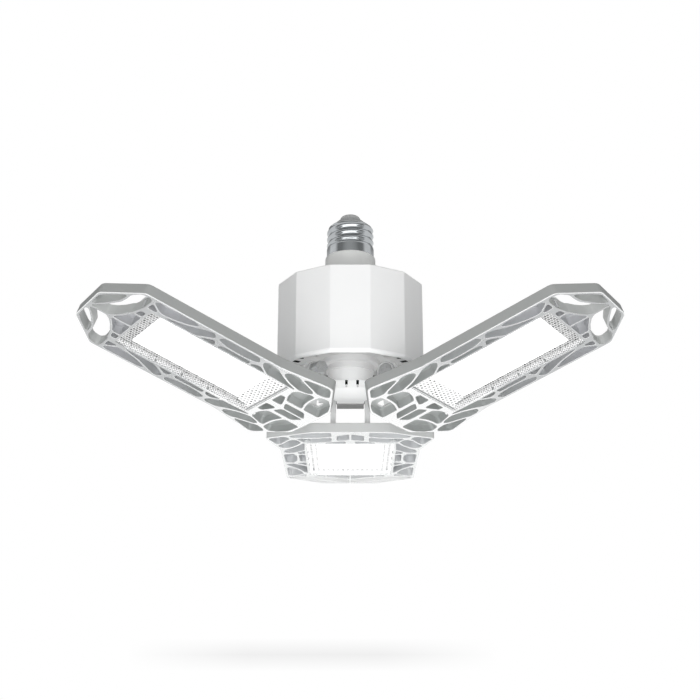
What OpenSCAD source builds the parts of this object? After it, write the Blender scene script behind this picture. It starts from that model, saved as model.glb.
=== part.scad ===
// Three-leaf folding garage light on a screw base.
// Origin: centre of the lower rim of the screw shell. +Z points up, into the lamp socket.
// Lengths are in millimetres.

/* [Screw base] */
// Outer radius of the plain skirt of the screw shell
skirt_r = 13.25; // [12.9:0.05:13.3]
// Height of the plain skirt below the thread
skirt_h = 5.5; // [4.5:0.1:8]
// Rise of the thread in one turn
thread_pitch = 3.9; // [3.3:0.01:4]
// Height of the threaded stretch of the shell
thread_h = 12.6; // [10:0.2:15]
// Depth of the rolled thread from crest to root
thread_depth = 0.9; // [0.5:0.05:1.1]
// Thickness of the skirt's sheet
shell_t = 0.6; // [0.4:0.05:0.8]
// Height of the insulator's shoulder above the shell
insulator_h = 4.7; // [3.5:0.1:6]
// Radius of the insulator's top land
insulator_top_r = 6.7; // [6:0.1:8]
// Radius of the centre contact
contact_r = 5.6; // [4:0.1:6]
// Height of the centre contact
contact_h = 3.6; // [2.5:0.1:5]

/* [Collar] */
// Height of the collar between the housing and the shell
collar_h = 19.1; // [12:0.1:26]
// Radius of the collar at its top
collar_top_r = 14; // [13.8:0.1:16]
// Radius of the collar at its foot
collar_foot_r = 14.6; // [14:0.1:17]
// Bore that the supply leads pass through
collar_bore_r = 9; // [6:0.5:10]

/* [Driver housing] */
// Radius over the corners of the twelve-sided housing
housing_r = 40.9; // [38:0.1:42]
// Height of the housing
housing_h = 48.8; // [42:0.2:60]
// Wall of the housing
housing_wall = 2.2; // [1.6:0.1:3]
// Chamfer along the housing's upper edge
housing_chamfer = 0.9; // [0.4:0.1:1.4]
// Height of the floor plate above the housing's rim
floor_recess = 6.6; // [4:0.1:9]
// Thickness of the floor plate
floor_t = 2; // [1.5:0.1:3]
// Number of vent slots above each hinge
vent_count = 5; // [3:1:7]

/* [Driver] */
// Thickness of the driver circuit board
board_t = 1.6; // [1:0.1:2]
// Radius of the driver circuit board
board_r = 28; // [24:0.5:30]
// Height of the posts under the driver board
post_h = 7; // [5:0.5:10]

/* [Hub] */
// Outer radius of the neck under the housing
neck_r = 12.3; // [11.5:0.1:13]
// Wall of the neck
neck_wall = 2.6; // [2:0.1:3.2]
// Distance of the hinge axes from the centre line
hinge_r = 27.4; // [26:0.1:30]
// Distance of the hinge axes below the housing's rim
hinge_drop = 5; // [4.9:0.1:8]
// Width of a hub arm between the ears of its panel
arm_w = 15.2; // [12:0.1:18]
// Radius of the barrel at an arm's end
barrel_r = 6; // [5.6:0.1:6.5]
// Radius of the hinge screws
pin_r = 2; // [1.6:0.1:2.4]

/* [Panel] */
// Length of a panel from its hinge end to its tip
panel_len = 133; // [125:1:145]
// Width of a panel's straight stretch
panel_w = 81.6; // [78:0.2:86]
// Width of a panel's hinge end
panel_end_w = 43; // [36:0.5:46]
// Width over the flared corners
flare_w = 95.4; // [92:0.2:97]
// Distance of the flared corners from the hinge end
flare_u = 13.5; // [12.5:0.1:18]
// Distance of the waist from the hinge end
waist_u = 41; // [36:0.5:46]
// Width of the panel's blunt tip
tip_w = 35.2; // [28:0.5:44]
// Length of the chamfered tip
tip_len = 16.3; // [12:0.1:20]
// Depth of the cast panel frame
frame_t = 5.6; // [5:0.1:7]
// Thickness of the floor of the frame's cells
web_t = 1; // [0.8:0.1:1.4]
// Width of the frame's outer rim
rim_w = 1.7; // [1.2:0.1:2.4]
// Distance of the hinge axis from the panel's hinge end
hinge_u = 11.5; // [10:0.1:13]
// Height of the hinge axis above the panel's lower face
hinge_h = 23.8; // [22:0.1:27]
// Thickness of a hinge ear
ear_t = 2.9; // [2.5:0.1:3.6]
// Radius of a hinge ear's round top
ear_r = 4.8; // [4.4:0.1:5]

/* [Light unit] */
// Length of the clear lens
lens_len = 80; // [74:0.5:82]
// Width of the clear lens
lens_w = 51; // [46:0.5:53]
// Distance of the lens from the hinge end
lens_u = 27.2; // [26:0.1:29]
// Thickness of the lens
lens_t = 1.6; // [1.2:0.1:2]
// Width of the ledge that carries the lens
ledge_w = 2; // [1.4:0.1:2.6]
// Thickness of the light board
led_board_t = 1.2; // [1:0.1:1.6]
// Number of diodes along a light board
led_cols = 10; // [6:1:12]
// Number of diodes across a light board
led_rows = 6; // [4:1:8]
// Height of the cooling fins on the panel's back
fin_h = 2; // [1:0.1:2.4]
// Number of cooling fins on a panel
fin_count = 9; // [5:1:12]

/* [Pose] */
// Tilt of the left and right panels above level
side_tilt = 19.5; // [0:0.5:90]
// Tilt of the back panel above level
back_tilt = 0; // [0:0.5:90]

/* [Hidden] */
$fn = 64;

// Overrun of every cut past the face that it opens
cut = 0.5;
// Sink of a solid into the one that it is fused to
sink = 0.4;
// Radial clearance of a screw or pin in its bore
bore_gap = 0.05;
// Clearance between pieces that are seated in each other
seat_gap = 0.15;
// Clearance between pieces that turn past each other
turn_gap = 0.15;

// Numbers of sides: the housing, the hub's core and a small lead
housing_sides = 12;
core_sides = 6;
lead_sides = 8;

// Colours of the finished surfaces
white = "whitesmoke";
light_grey = "gainsboro";
metal = "silver";

// Levels of the housing and the hub, measured from the shell's lower rim
z_roof = -collar_h;
z_rim = z_roof - housing_h;
z_floor = z_rim + floor_recess;
z_floor_top = z_floor + floor_t;
z_board = z_floor_top + post_h;
z_board_top = z_board + board_t;
hinge_z = z_rim - hinge_drop;
z_hub_bottom = hinge_z - barrel_r;

// Directions of the three panels round the centre line, and their tilts
left_turn = 210;
right_turn = 330;
back_turn = 90;
arm_turns = [left_turn, right_turn, back_turn];

// Screw shell
thread_columns = 40;
rows_per_turn = 8;
// Height over which the thread fades into the skirt and into the top
thread_fade = 1.4;
// Radius that the thread's crests stay under the skirt
crest_sink = 0.05;
// Radius and height by which the thread's sheet is tucked into the skirt
tuck_r = 0.2;
tuck_h = 0.7;
thread_bore_r = skirt_r - thread_depth - 2 * shell_t;
z_shell_top = skirt_h + thread_h;

// Insulator: height and clearance of its plug, and thickness of its top land
plug_h = 2;
land_h = 0.6;
shoulder_r = skirt_r - thread_depth;
z_land = z_shell_top + insulator_h;
// Contact: thickness of its straight edge and radius of the solder bead on it
contact_edge_h = 0.9;
bead_r = 2.2;
bead_h = 0.5;

// Collar: spigot inside the shell and flange inside the housing
spigot_h = skirt_h - 1;
flange_r = 18;
flange_h = 2;
// Rounded shoulder at the collar's top
collar_shoulder = 0.5;

// Housing
roof_t = 2.4;
facet_turn = 180 / housing_sides;
// Rounding of the lower rim
rim_round = 1.8;
inner_r = housing_r - housing_wall;
z_ceiling = z_roof - roof_t;
// Bosses for the floor plate's screws, half way between the panels
boss_r = 3.2;
boss_turn = 60;
boss_edge = 5.8;
boss_place_r = inner_r - boss_edge;
screw_hole_r = 1.4;
// Screw heads and shanks of the floor
floor_head_r = 2.7;
floor_head_h = 1.5;
floor_shank = 9;
// Cross recess in every screw head, as a share of the head's radius and height
recess_share = 0.62;
recess_width_share = 0.24;
recess_depth_share = 0.5;

// Vent slots in the floor plate above each hinge
vent_w = 2.2;
vent_len = 4;
vent_step = 6.5;
// Round flange that steps down from the floor plate to the neck
step_top_r = 15.8;
step_top_h = 2.9;
step_foot_r = 13.2;
step_h = 6.4;

// Board screws and posts
post_r = 2.6;
post_place_r = 22;
board_head_r = 2.4;
board_head_h = 1.2;
board_shank = 6;

// Transformer on the driver board
core_w = 16;
core_d = 14;
core_h = 13;
core_leg = 3.4;
coil_r = 5.6;
transformer_x = -14;
transformer_y = 8;
// Capacitors: radius, height and place of each
cap_big_r = 6;
cap_big_h = 20;
cap_small_r = 4;
cap_small_h = 12;
cap_film_h = 9;
cap_film_l = 9;
cap_film_w = 3;
cap_film_y = 14;
cap_x = 12;
cap_y = 10;
cap_rim = 0.5;
// Chips: size of a power chip and of its cooling tab, and their spacing
chip_w = 10;
chip_d = 4.4;
chip_h = 9;
chip_step = 11;
chip_y = -15;
chip_tab_t = 1.2;
chip_tab_h = 4;

// Leads: radius, distance of the supply leads from the centre line
supply_r = 0.9;
supply_x = 3;
hub_lead_r = 0.8;
hub_lead_start = 5.2;
hub_lead_bend = 3;
bend_steps = 5;

// Hub: core, cone under the neck, arms and lock ring
core_flat_r = 10.8;
core_wall = 1.4;
cone_drop = 0.5;
cone_h = 2.2;
arm_side = arm_w / 2;
// Web of an arm, its depth below the hinge axis, and the block that joins it to the barrel
arm_web_w = 10.2;
arm_web_drop = 1;
knuckle_start = 21;
knuckle_top = 2;
cover_t = 1.6;
cover_r = 20.8;
ring_h = 3;
ring_w = 4.4;
ring_flats = 6;
neck_stand = 1;
lead_bore_r = 1.2;
lead_drop = 2.7;
neck_bore_r = neck_r - neck_wall;
z_neck_top = z_floor_top + ring_h + neck_stand;
z_core_top = hinge_z - cone_drop;
z_cover_top = z_hub_bottom + cover_t;
// Slots in the core's flats and the keys of the cover that stand in their lower ends
window_w = 1.1;
window_h = 3.2;
window_places = [-2.1, 3.9];
key_set = 0.5;
key_rise = 1.2;
key_back = 0.8;

// Ears, counterbores and hinge hardware, measured along a hinge axis
washer_t = 0.4;
washer_r = 4.2;
ear_in = arm_side + washer_t + turn_gap;
ear_out = ear_in + ear_t;
ear_mid = ear_in + ear_t / 2;
seat_depth = 1.2;
seat_r = 4;
head_r = 3.6;
head_h = seat_depth - turn_gap;
head_in = ear_out - seat_depth + bore_gap;
nut_r = 3.6;
nut_sides = 6;
// Length of a cap nut outside its ear
nut_out = 7;
// Widths of an ear's foot from the axis towards the hinge end and the tip
foot_in = 7.2;
foot_out = 4.6;
// Half width of an ear's blade at its hinge, as a share of its round top
blade_share = 0.9;

// Light unit, measured upwards from the panel's lower face
lens_sink = 0.3;
lens_wall = 1.2;
seal_t = 0.4;
ledge_t = 0.8;
w_lens_top = lens_sink + lens_t;
w_ledge = w_lens_top + seal_t;
w_board = w_ledge + ledge_t;
w_board_top = w_board + led_board_t;
pad_t = frame_t - w_board_top;
w_cell_top = frame_t - web_t;
board_inset = 0.4;
led_board_len = lens_len - board_inset;
led_board_w = lens_w - board_inset;
lens_mid = lens_u + lens_len / 2;
lens_corner = 1.2;
// Diodes
diode_l = 3.5;
diode_w = 2.8;
diode_t = 0.5;
diode_margin = 5;

// Heat plate on the panel's back
plate_t = 1;
plate_over_hinge = 10;
plate_over_tip = 5.4;
plate_over_v = 2.6;
plate_corner = 3;
fin_t = 1.2;
fin_margin = 3.4;
fin_span_share = 0.84;
// Screws of the heat plate and their bosses
plate_screw_r = 0.9;
plate_head_r = 1.8;
plate_head_h = 1;
plate_boss_r = 2.3;
plate_boss_w = 0.8;
boss_out_u = 2.9;
boss_in_v = 0.6;

// Lead inside a panel
panel_lead_r = 0.6;
duct_r = 0.8;
duct_w = w_board_top + panel_lead_r;
elbow_r = 1.5;
elbow = 1.3;
lead_reach = 7;
lead_stop = 0.5;

// Rounding of a panel's outline and of its cells
side_round = 5;
cell_round = 1.3;
corner_steps = 2;
outline_steps = 4;
// Longest stretch of an edge that a rounding may take, as a share of the edge
corner_share = 0.45;

// Half outlines of the hinge-end cells: shares of the length up to the lens and of half the flare
window_cell_shares = [[0.077, 0.235], [0.077, 0.5], [0.19, 0.64], [0.315, 0.705], [0.46, 0.68],
    [0.488, 0.566], [0.488, 0.48], [0.462, 0.367], [0.392, 0.235]];
shoulder_cell_shares = [[0.562, 0.6], [0.623, 0.629], [0.846, 0.564], [0.9, 0.482], [0.869, 0.356],
    [0.792, 0.235], [0.462, 0.235], [0.531, 0.356], [0.554, 0.461]];
lens_end_cell_shares = [[0.8, 0.071], [0.854, 0.178], [0.915, 0.281], [0.985, 0.281], [0.985, 0.071]];
chevron_cell_shares = [[0.2, 0.013], [0.331, 0.147], [0.731, 0.147], [0.638, 0.013]];
flare_cell_shares = [[0.4, 0.8], [0.535, 0.93], [0.6, 0.95], [1, 0.876], [1.046, 0.843],
    [0.769, 0.763], [0.615, 0.73], [0.45, 0.75]];
flare_leaf_shares = [[0.669, 0.66], [0.708, 0.734], [1.115, 0.845], [1.269, 0.851], [1.369, 0.809],
    [1.362, 0.755], [1.154, 0.658], [0.885, 0.602], [0.715, 0.621]];
window_opening_shares = [[0.15, 0.25], [0.15, 0.4], [0.26, 0.42], [0.37, 0.39], [0.36, 0.25]];

// Half outlines of the side cells: shares of the lens length and of the strip beside the lens
waist_leaf_shares = [[-0.025, 0], [0.035, 0.18], [0.098, 0.444], [0.172, 0.863], [0.235, 0.96],
    [0.26, 0.78], [0.23, 0.395], [0.168, 0]];
waist_wedge_shares = [[0.198, 0], [0.25, 0.315], [0.29, 0.25], [0.305, 0]];
mid_bow_shares = [[0.29, 0.62], [0.312, 0.96], [0.56, 0.96], [0.575, 0.685], [0.51, 0.5],
    [0.416, 0.42], [0.341, 0.484]];
mid_strip_shares = [[0.325, 0.25], [0.416, 0.28], [0.53, 0.25], [0.542, 0], [0.328, 0]];
mid_wedge_shares = [[0.568, 0], [0.593, 0.395], [0.668, 0]];
side_leaf_shares = [[0.607, 0.669], [0.635, 0.96], [0.679, 0.815], [0.785, 0.363], [0.897, 0.09],
    [0.922, 0], [0.71, 0]];
side_bow_shares = [[0.735, 0.863], [0.766, 0.96], [1.01, 0.96], [1.028, 0.831], [0.985, 0.444],
    [0.948, 0.266], [0.86, 0.363], [0.785, 0.589]];
corner_wedge_shares = [[0.978, 0.137], [1.028, 0.6], [1.037, 0.16]];

// Half outlines of the tip cells: shares of the length past the lens and of half the width
spine_cell_shares = [[0.02, 0.022], [0.4, 0.022], [0.28, 0.2], [0.203, 0.353], [0.02, 0.353]];
rung_cell_shares = [[0.02, 0.407], [0.154, 0.407], [0.125, 0.52], [0.02, 0.52]];
tip_bow_shares = [[0.57, 0.022], [0.455, 0.098], [0.333, 0.22], [0.244, 0.355], [0.183, 0.49],
    [0.146, 0.686], [0.146, 0.882], [0.2, 0.95], [0.36, 0.91], [0.465, 0.784], [0.5, 0.637],
    [0.52, 0.49], [0.675, 0.26], [0.9, 0.022]];
tip_hole_shares = [[0.927, 0.113], [0.94, 0.22], [0.92, 0.37], [0.825, 0.49], [0.622, 0.667],
    [0.565, 0.71], [0.553, 0.637], [0.585, 0.525], [0.74, 0.304], [0.87, 0.132]];

// Rounds the corners of a closed outline with short parabolic arcs
function softened(points, r, steps) =
    let (m = len(points))
    [for (i = [0 : m - 1])
        let (
            a = points[(i + m - 1) % m],
            b = points[i],
            c = points[(i + 1) % m],
            d = min(r, corner_share * norm(a - b), corner_share * norm(c - b)),
            p = b + (a - b) * d / norm(a - b),
            q = b + (c - b) * d / norm(c - b)
        )
        for (k = [0 : steps])
            let (t = k / steps)
            (1 - t) * (1 - t) * p + 2 * t * (1 - t) * b + t * t * q];

// The same outline on the other side of the panel's centre line
function mirrored(points) = [for (i = [len(points) - 1 : -1 : 0]) [points[i].x, -points[i].y]];

// Shares to places, for the three zones of a panel
function end_points(shares) =
    [for (s = shares) [s.x * (lens_u - lens_wall), s.y * flare_w / 2]];
function side_points(shares) =
    let (v0 = lens_w / 2 + lens_wall, v1 = panel_w / 2 - rim_w)
    [for (s = shares) [lens_u + s.x * lens_len, v0 + s.y * (v1 - v0)]];
function tip_points(shares) =
    let (u0 = lens_u + lens_len + lens_wall)
    [for (s = shares) [u0 + s.x * (panel_len - u0), s.y * panel_w / 2]];

// Radius of the rolled thread at a height above the skirt and an angle
function thread_r(z, a) =
    let (
        wave = (1 + cos(360 * z / thread_pitch - a)) / 2,
        low = max(0, min(1, z / thread_fade)),
        high = max(0, min(1, (thread_h - z) / thread_fade))
    )
    skirt_r - (1 - low) * tuck_r - low * (crest_sink + thread_depth * (1 - wave * high));

// Ring of points round a route's point: the route lies in the plane of x and z
function route_ring(route, i, r) =
    let (
        a = route[max(0, i - 1)],
        b = route[min(len(route) - 1, i + 1)],
        t = (b - a) / norm(b - a),
        n = [-t.z, 0, t.x]
    )
    [for (k = [0 : lead_sides - 1])
        let (g = 360 * (k + 1 / 2) / lead_sides)
        route[i] + r * cos(g) * [0, 1, 0] + r * sin(g) * n];

// Quarter bend in the plane of x and z, from one direction into the next
function bend(corner, from, to, size) =
    [for (k = [0 : bend_steps])
        let (t = k / bend_steps)
        corner + (1 - t) * (1 - t) * size * from + t * t * size * to];

// Tube of a lead along a route
module lead(route, r) {
    rings = [for (i = [0 : len(route) - 1]) each route_ring(route, i, r)];
    last = (len(route) - 1) * lead_sides;
    polyhedron(
        points = rings,
        faces = concat(
            [[for (k = [0 : lead_sides - 1]) k]],
            [[for (k = [lead_sides - 1 : -1 : 0]) last + k]],
            [for (i = [0 : len(route) - 2], k = [0 : lead_sides - 1])
                let (n = (k + 1) % lead_sides, j = i * lead_sides)
                each [
                    [j + k, j + lead_sides + k, j + lead_sides + n],
                    [j + k, j + lead_sides + n, j + n]
                ]]
        )
    );
}

// Cylinder along Y, centred on the origin
module rod(r, length) {
    rotate([90, 0, 0]) cylinder(r = r, h = length, center = true);
}

// Cross recess that a driver bit fits, cut into a screw head from z = 0 upwards
module cross_recess(head_radius, head_height) {
    reach = 2 * head_radius * recess_share;
    width = 2 * head_radius * recess_width_share;
    depth = head_height * recess_depth_share + cut;
    for (turn = [0, 90])
        rotate([0, 0, turn])
            translate([-reach / 2, -width / 2, -cut])
                cube([reach, width, depth]);
}

// Screw with its head's outer face at z = 0 and its shank along +Z
module screw(head_radius, head_height, shank_radius, shank) {
    difference() {
        union() {
            cylinder(r = head_radius, h = head_height);
            cylinder(r = shank_radius, h = head_height + shank);
        }
        cross_recess(head_radius, head_height);
    }
}

// Extruded outline from one height to another
module slab(points, low, high) {
    translate([0, 0, low]) linear_extrude(high - low) polygon(points);
}

// Rectangle with rounded corners, centred on a point
function plate_points(x, y, length, width, r) =
    softened([
        [x - length / 2, y - width / 2], [x + length / 2, y - width / 2],
        [x + length / 2, y + width / 2], [x - length / 2, y + width / 2]
    ], r, corner_steps);

// Screw base

module contact_tip() {
    color(metal)
        translate([0, 0, z_land])
            rotate_extrude()
                polygon([
                    [0, 0], [contact_r, 0], [contact_r, contact_edge_h],
                    for (a = [10 : 20 : 70])
                        [bead_r + (contact_r - bead_r) * cos(a),
                            contact_edge_h + (contact_h - bead_h - contact_edge_h) * sin(a)],
                    [bead_r, contact_h - bead_h], [bead_r, contact_h], [0, contact_h]
                ]);
}

module base_insulator() {
    color(light_grey)
        difference() {
            rotate_extrude()
                polygon([
                    [0, z_shell_top - plug_h], [thread_bore_r - seat_gap, z_shell_top - plug_h],
                    [thread_bore_r - seat_gap, z_shell_top], [shoulder_r, z_shell_top],
                    [shoulder_r, z_shell_top + land_h], [insulator_top_r, z_land - land_h],
                    [insulator_top_r, z_land], [0, z_land]
                ]);
            translate([supply_x, 0, z_shell_top - plug_h - cut])
                cylinder(r = supply_r + bore_gap, h = plug_h + cut);
        }
}

module screw_shell() {
    rows = ceil(thread_h / thread_pitch * rows_per_turn);
    heights = concat([-tuck_h], [for (i = [0 : rows]) thread_h * i / rows]);
    outer = [for (z = heights, j = [0 : thread_columns - 1])
        let (a = 360 * j / thread_columns, r = thread_r(z, a))
        [r * cos(a), r * sin(a), z]];
    inner = [for (z = [-tuck_h, thread_h], j = [0 : thread_columns - 1])
        let (a = 360 * j / thread_columns)
        [thread_bore_r * cos(a), thread_bore_r * sin(a), z]];
    top = (len(heights) - 1) * thread_columns;
    low_in = len(outer);
    high_in = low_in + thread_columns;
    color(metal)
        union() {
            difference() {
                cylinder(r = skirt_r, h = skirt_h);
                translate([0, 0, -cut]) cylinder(r = skirt_r - shell_t, h = skirt_h + 2 * cut);
            }
            translate([0, 0, skirt_h])
                polyhedron(
                    points = concat(outer, inner),
                    faces = concat(
                        [for (i = [0 : len(heights) - 2], j = [0 : thread_columns - 1])
                            let (n = (j + 1) % thread_columns, a = i * thread_columns)
                            each [
                                [a + j, a + thread_columns + j, a + thread_columns + n],
                                [a + j, a + thread_columns + n, a + n]
                            ]],
                        [for (j = [0 : thread_columns - 1])
                            let (n = (j + 1) % thread_columns)
                            each [
                                [j, n, low_in + n], [j, low_in + n, low_in + j],
                                [low_in + j, low_in + n, high_in + n],
                                [low_in + j, high_in + n, high_in + j],
                                [top + j, high_in + j, high_in + n], [top + j, high_in + n, top + n]
                            ]]
                    )
                );
        }
}

module base_collar() {
    spigot_r = skirt_r - shell_t - seat_gap;
    color(light_grey)
        rotate_extrude()
            polygon([
                [collar_bore_r, z_ceiling - flange_h], [flange_r, z_ceiling - flange_h],
                [flange_r, z_ceiling], [collar_foot_r, z_ceiling], [collar_foot_r, z_roof],
                [collar_top_r, -collar_shoulder], [collar_top_r - collar_shoulder, 0],
                [spigot_r, 0], [spigot_r, spigot_h], [collar_bore_r, spigot_h]
            ]);
}

// Driver housing

module driver_housing() {
    color(white)
        difference() {
            union() {
                rotate([0, 0, facet_turn])
                    rotate_extrude($fn = housing_sides)
                        polygon([
                            [0, z_ceiling], [inner_r, z_ceiling], [inner_r, z_rim],
                            for (a = [90 : -30 : 0])
                                [housing_r - rim_round * (1 - cos(a)), z_rim + rim_round * (1 - sin(a))],
                            [housing_r, z_roof - housing_chamfer],
                            [housing_r - housing_chamfer, z_roof], [0, z_roof]
                        ]);
                for (turn = arm_turns)
                    rotate([0, 0, turn + boss_turn])
                        translate([boss_place_r, 0, z_floor_top])
                            cylinder(r = boss_r, h = z_ceiling - z_floor_top + sink);
            }
            translate([0, 0, z_ceiling - cut])
                cylinder(r = collar_foot_r + seat_gap, h = roof_t + 2 * cut);
            for (turn = arm_turns)
                rotate([0, 0, turn + boss_turn])
                    translate([boss_place_r, 0, z_floor_top - cut])
                        cylinder(r = screw_hole_r + bore_gap, h = floor_shank + cut);
        }
}

module floor_plate() {
    color(white)
        difference() {
            union() {
                translate([0, 0, z_floor])
                    rotate([0, 0, facet_turn])
                        cylinder(r = inner_r - seat_gap, h = floor_t, $fn = housing_sides);
                translate([0, 0, z_floor - step_top_h])
                    cylinder(r = step_top_r, h = step_top_h + sink);
                translate([0, 0, z_floor - step_h])
                    cylinder(r = step_foot_r, h = step_h + sink);
                for (turn = arm_turns)
                    rotate([0, 0, turn])
                        translate([post_place_r, 0, z_floor_top - sink])
                            cylinder(r = post_r, h = post_h + sink);
            }
            translate([0, 0, z_floor - step_h - cut])
                cylinder(r = neck_r + seat_gap, h = step_h + floor_t + 2 * cut);
            for (turn = arm_turns) {
                rotate([0, 0, turn + boss_turn])
                    translate([boss_place_r, 0, z_floor - cut])
                        cylinder(r = screw_hole_r + bore_gap, h = floor_t + 2 * cut);
                rotate([0, 0, turn])
                    translate([post_place_r, 0, z_board - board_shank - cut])
                        cylinder(r = screw_hole_r + bore_gap, h = board_shank + 2 * cut);
                rotate([0, 0, turn])
                    for (i = [0 : vent_count - 1])
                        translate([hinge_r - vent_len / 2,
                                (i - (vent_count - 1) / 2) * vent_step - vent_w / 2, z_floor - cut])
                            cube([vent_len, vent_w, floor_t + 2 * cut]);
            }
        }
}

module floor_screws() {
    color(metal)
        for (turn = arm_turns)
            rotate([0, 0, turn + boss_turn])
                translate([boss_place_r, 0, z_floor - floor_head_h])
                    screw(floor_head_r, floor_head_h, screw_hole_r, floor_shank);
}

// Driver

module driver_board() {
    color("darkgreen")
        difference() {
            translate([0, 0, z_board]) cylinder(r = board_r, h = board_t);
            for (turn = arm_turns)
                rotate([0, 0, turn])
                    translate([post_place_r, 0, z_board - cut])
                        cylinder(r = screw_hole_r + bore_gap, h = board_t + 2 * cut);
        }
}

module board_screws() {
    color(metal)
        for (turn = arm_turns)
            rotate([0, 0, turn])
                translate([post_place_r, 0, z_board_top + board_head_h])
                    rotate([180, 0, 0])
                        screw(board_head_r, board_head_h, screw_hole_r, board_shank);
}

module driver_transformer() {
    color("goldenrod")
        translate([transformer_x, transformer_y, z_board_top]) {
            difference() {
                translate([-core_w / 2, -core_d / 2, 0]) cube([core_w, core_d, core_h]);
                translate([core_leg - core_w / 2, -core_d / 2 - cut, core_leg])
                    cube([core_w - 2 * core_leg, core_d + 2 * cut, core_h - 2 * core_leg]);
            }
            translate([0, 0, core_h / 2])
                rod(min(coil_r, core_h / 2 - core_leg + sink), core_d + core_leg);
        }
}

module driver_capacitors() {
    color("dimgrey")
        translate([0, 0, z_board_top]) {
            translate([cap_x, cap_y, 0])
                rotate_extrude()
                    polygon([
                        [0, 0], [cap_big_r, 0], [cap_big_r, cap_big_h - cap_rim],
                        [cap_big_r - cap_rim, cap_big_h], [0, cap_big_h]
                    ]);
            translate([cap_x + cap_big_r, -cap_small_r, 0])
                rotate_extrude()
                    polygon([
                        [0, 0], [cap_small_r, 0], [cap_small_r, cap_small_h - cap_rim],
                        [cap_small_r - cap_rim, cap_small_h], [0, cap_small_h]
                    ]);
            slab(plate_points(0, cap_film_y, cap_film_l, cap_film_w, cap_rim), 0, cap_film_h);
        }
}

module driver_chips() {
    color("black")
        for (i = [-1 : 1])
            translate([i * chip_step - chip_w / 2, chip_y, z_board_top])
                union() {
                    cube([chip_w, chip_d, chip_h]);
                    cube([chip_w, chip_tab_t, chip_h + chip_tab_h]);
                }
}

module supply_leads() {
    low = z_board_top;
    color("black") {
        translate([supply_x, 0, low])
            cylinder(r = supply_r, h = z_shell_top - low);
        translate([-supply_x, 0, low])
            cylinder(r = supply_r, h = z_shell_top - plug_h - low);
    }
}

// Hub

module core_prism(flat_r, low, high) {
    translate([0, 0, low])
        cylinder(r = flat_r / cos(180 / core_sides), h = high - low, $fn = core_sides);
}

// Turns a child to each arm in turn
module each_arm() {
    for (turn = arm_turns) rotate([0, 0, turn]) children();
}

// Turns a child to each flat of the core that lies between two arms
module each_flat() {
    for (turn = arm_turns) rotate([0, 0, turn + 180]) children();
}

module hub_body() {
    arm_low = z_cover_top;
    color(white)
        difference() {
            union() {
                rotate_extrude()
                    polygon([
                        [0, z_core_top - cone_h], [core_flat_r - sink, z_core_top - cone_h],
                        [neck_r, z_core_top], [neck_r, z_neck_top], [0, z_neck_top]
                    ]);
                core_prism(core_flat_r, z_cover_top, z_core_top - sink);
                each_arm() {
                    translate([0, -arm_web_w / 2, arm_low])
                        cube([hinge_r, arm_web_w, hinge_z - arm_web_drop - arm_low]);
                    translate([knuckle_start, -arm_side, arm_low])
                        cube([hinge_r - knuckle_start, arm_w, hinge_z + knuckle_top - arm_low]);
                    translate([hinge_r, 0, hinge_z]) rod(barrel_r, arm_w);
                }
            }
            translate([0, 0, z_core_top - cut])
                cylinder(r = neck_bore_r, h = z_neck_top - z_core_top + 2 * cut);
            core_prism(core_flat_r - core_wall, z_cover_top - cut, z_core_top);
            each_arm() {
                translate([hinge_r, 0, hinge_z]) rod(pin_r + bore_gap, arm_w + 2 * cut);
                translate([0, 0, hinge_z - lead_drop])
                    rotate([0, 90, 0]) cylinder(r = lead_bore_r, h = hinge_r);
            }
            each_flat()
                for (place = window_places)
                    translate([core_flat_r - core_wall - cut, place - window_w / 2,
                            z_cover_top - cut])
                        cube([core_wall + 2 * cut, window_w, window_h + cut]);
        }
}

module neck_lock_ring() {
    color(light_grey)
        translate([0, 0, z_floor_top])
            difference() {
                cylinder(r = neck_r + ring_w, h = ring_h, $fn = ring_flats);
                translate([0, 0, -cut]) cylinder(r = neck_r + seat_gap, h = ring_h + 2 * cut);
            }
}

module hub_cover() {
    key_in = core_flat_r - core_wall - key_back;
    key_w = window_w - turn_gap;
    color(white)
        difference() {
            union() {
                core_prism(core_flat_r, z_hub_bottom, z_cover_top);
                each_arm()
                    translate([0, -arm_side, z_hub_bottom]) cube([cover_r, arm_w, cover_t]);
                each_flat()
                    for (place = window_places)
                        translate([key_in, place - key_w / 2, z_cover_top - sink])
                            cube([core_wall + key_back, key_w, key_rise + sink]);
            }
            each_flat()
                for (place = window_places)
                    translate([core_flat_r - key_set, place - window_w / 2, z_hub_bottom - cut])
                        cube([key_set + cut, window_w, cover_t + key_rise + 2 * cut]);
        }
}

module hub_leads() {
    corner = [hub_lead_start, 0, hinge_z - lead_drop];
    route = concat(
        [[hub_lead_start, 0, z_board]],
        bend(corner, [0, 0, 1], [1, 0, 0], hub_lead_bend),
        [[hinge_r - pin_r - 2 * bore_gap, 0, hinge_z - lead_drop]]
    );
    color("red") each_arm() lead(route, hub_lead_r);
}

// Hinges: the frame of each is the hinge's centre, with Y along its axis

module at_hinge(turn) {
    rotate([0, 0, turn]) translate([hinge_r, 0, hinge_z]) children();
}

module hinge_screws() {
    shank = 2 * head_in + head_h;
    color(metal)
        for (turn = arm_turns)
            at_hinge(turn)
                translate([0, -(head_in + head_h), 0])
                    rotate([-90, 0, 0]) screw(head_r, head_h, pin_r, shank);
}

module hinge_nuts() {
    color(metal)
        for (turn = arm_turns)
            at_hinge(turn)
                translate([0, head_in, 0])
                    rotate([-90, 0, 0])
                        difference() {
                            cylinder(r = nut_r, h = head_h + nut_out, $fn = nut_sides);
                            translate([0, 0, -cut])
                                cylinder(r = pin_r + bore_gap, h = head_h + cut + bore_gap);
                        }
}

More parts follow.
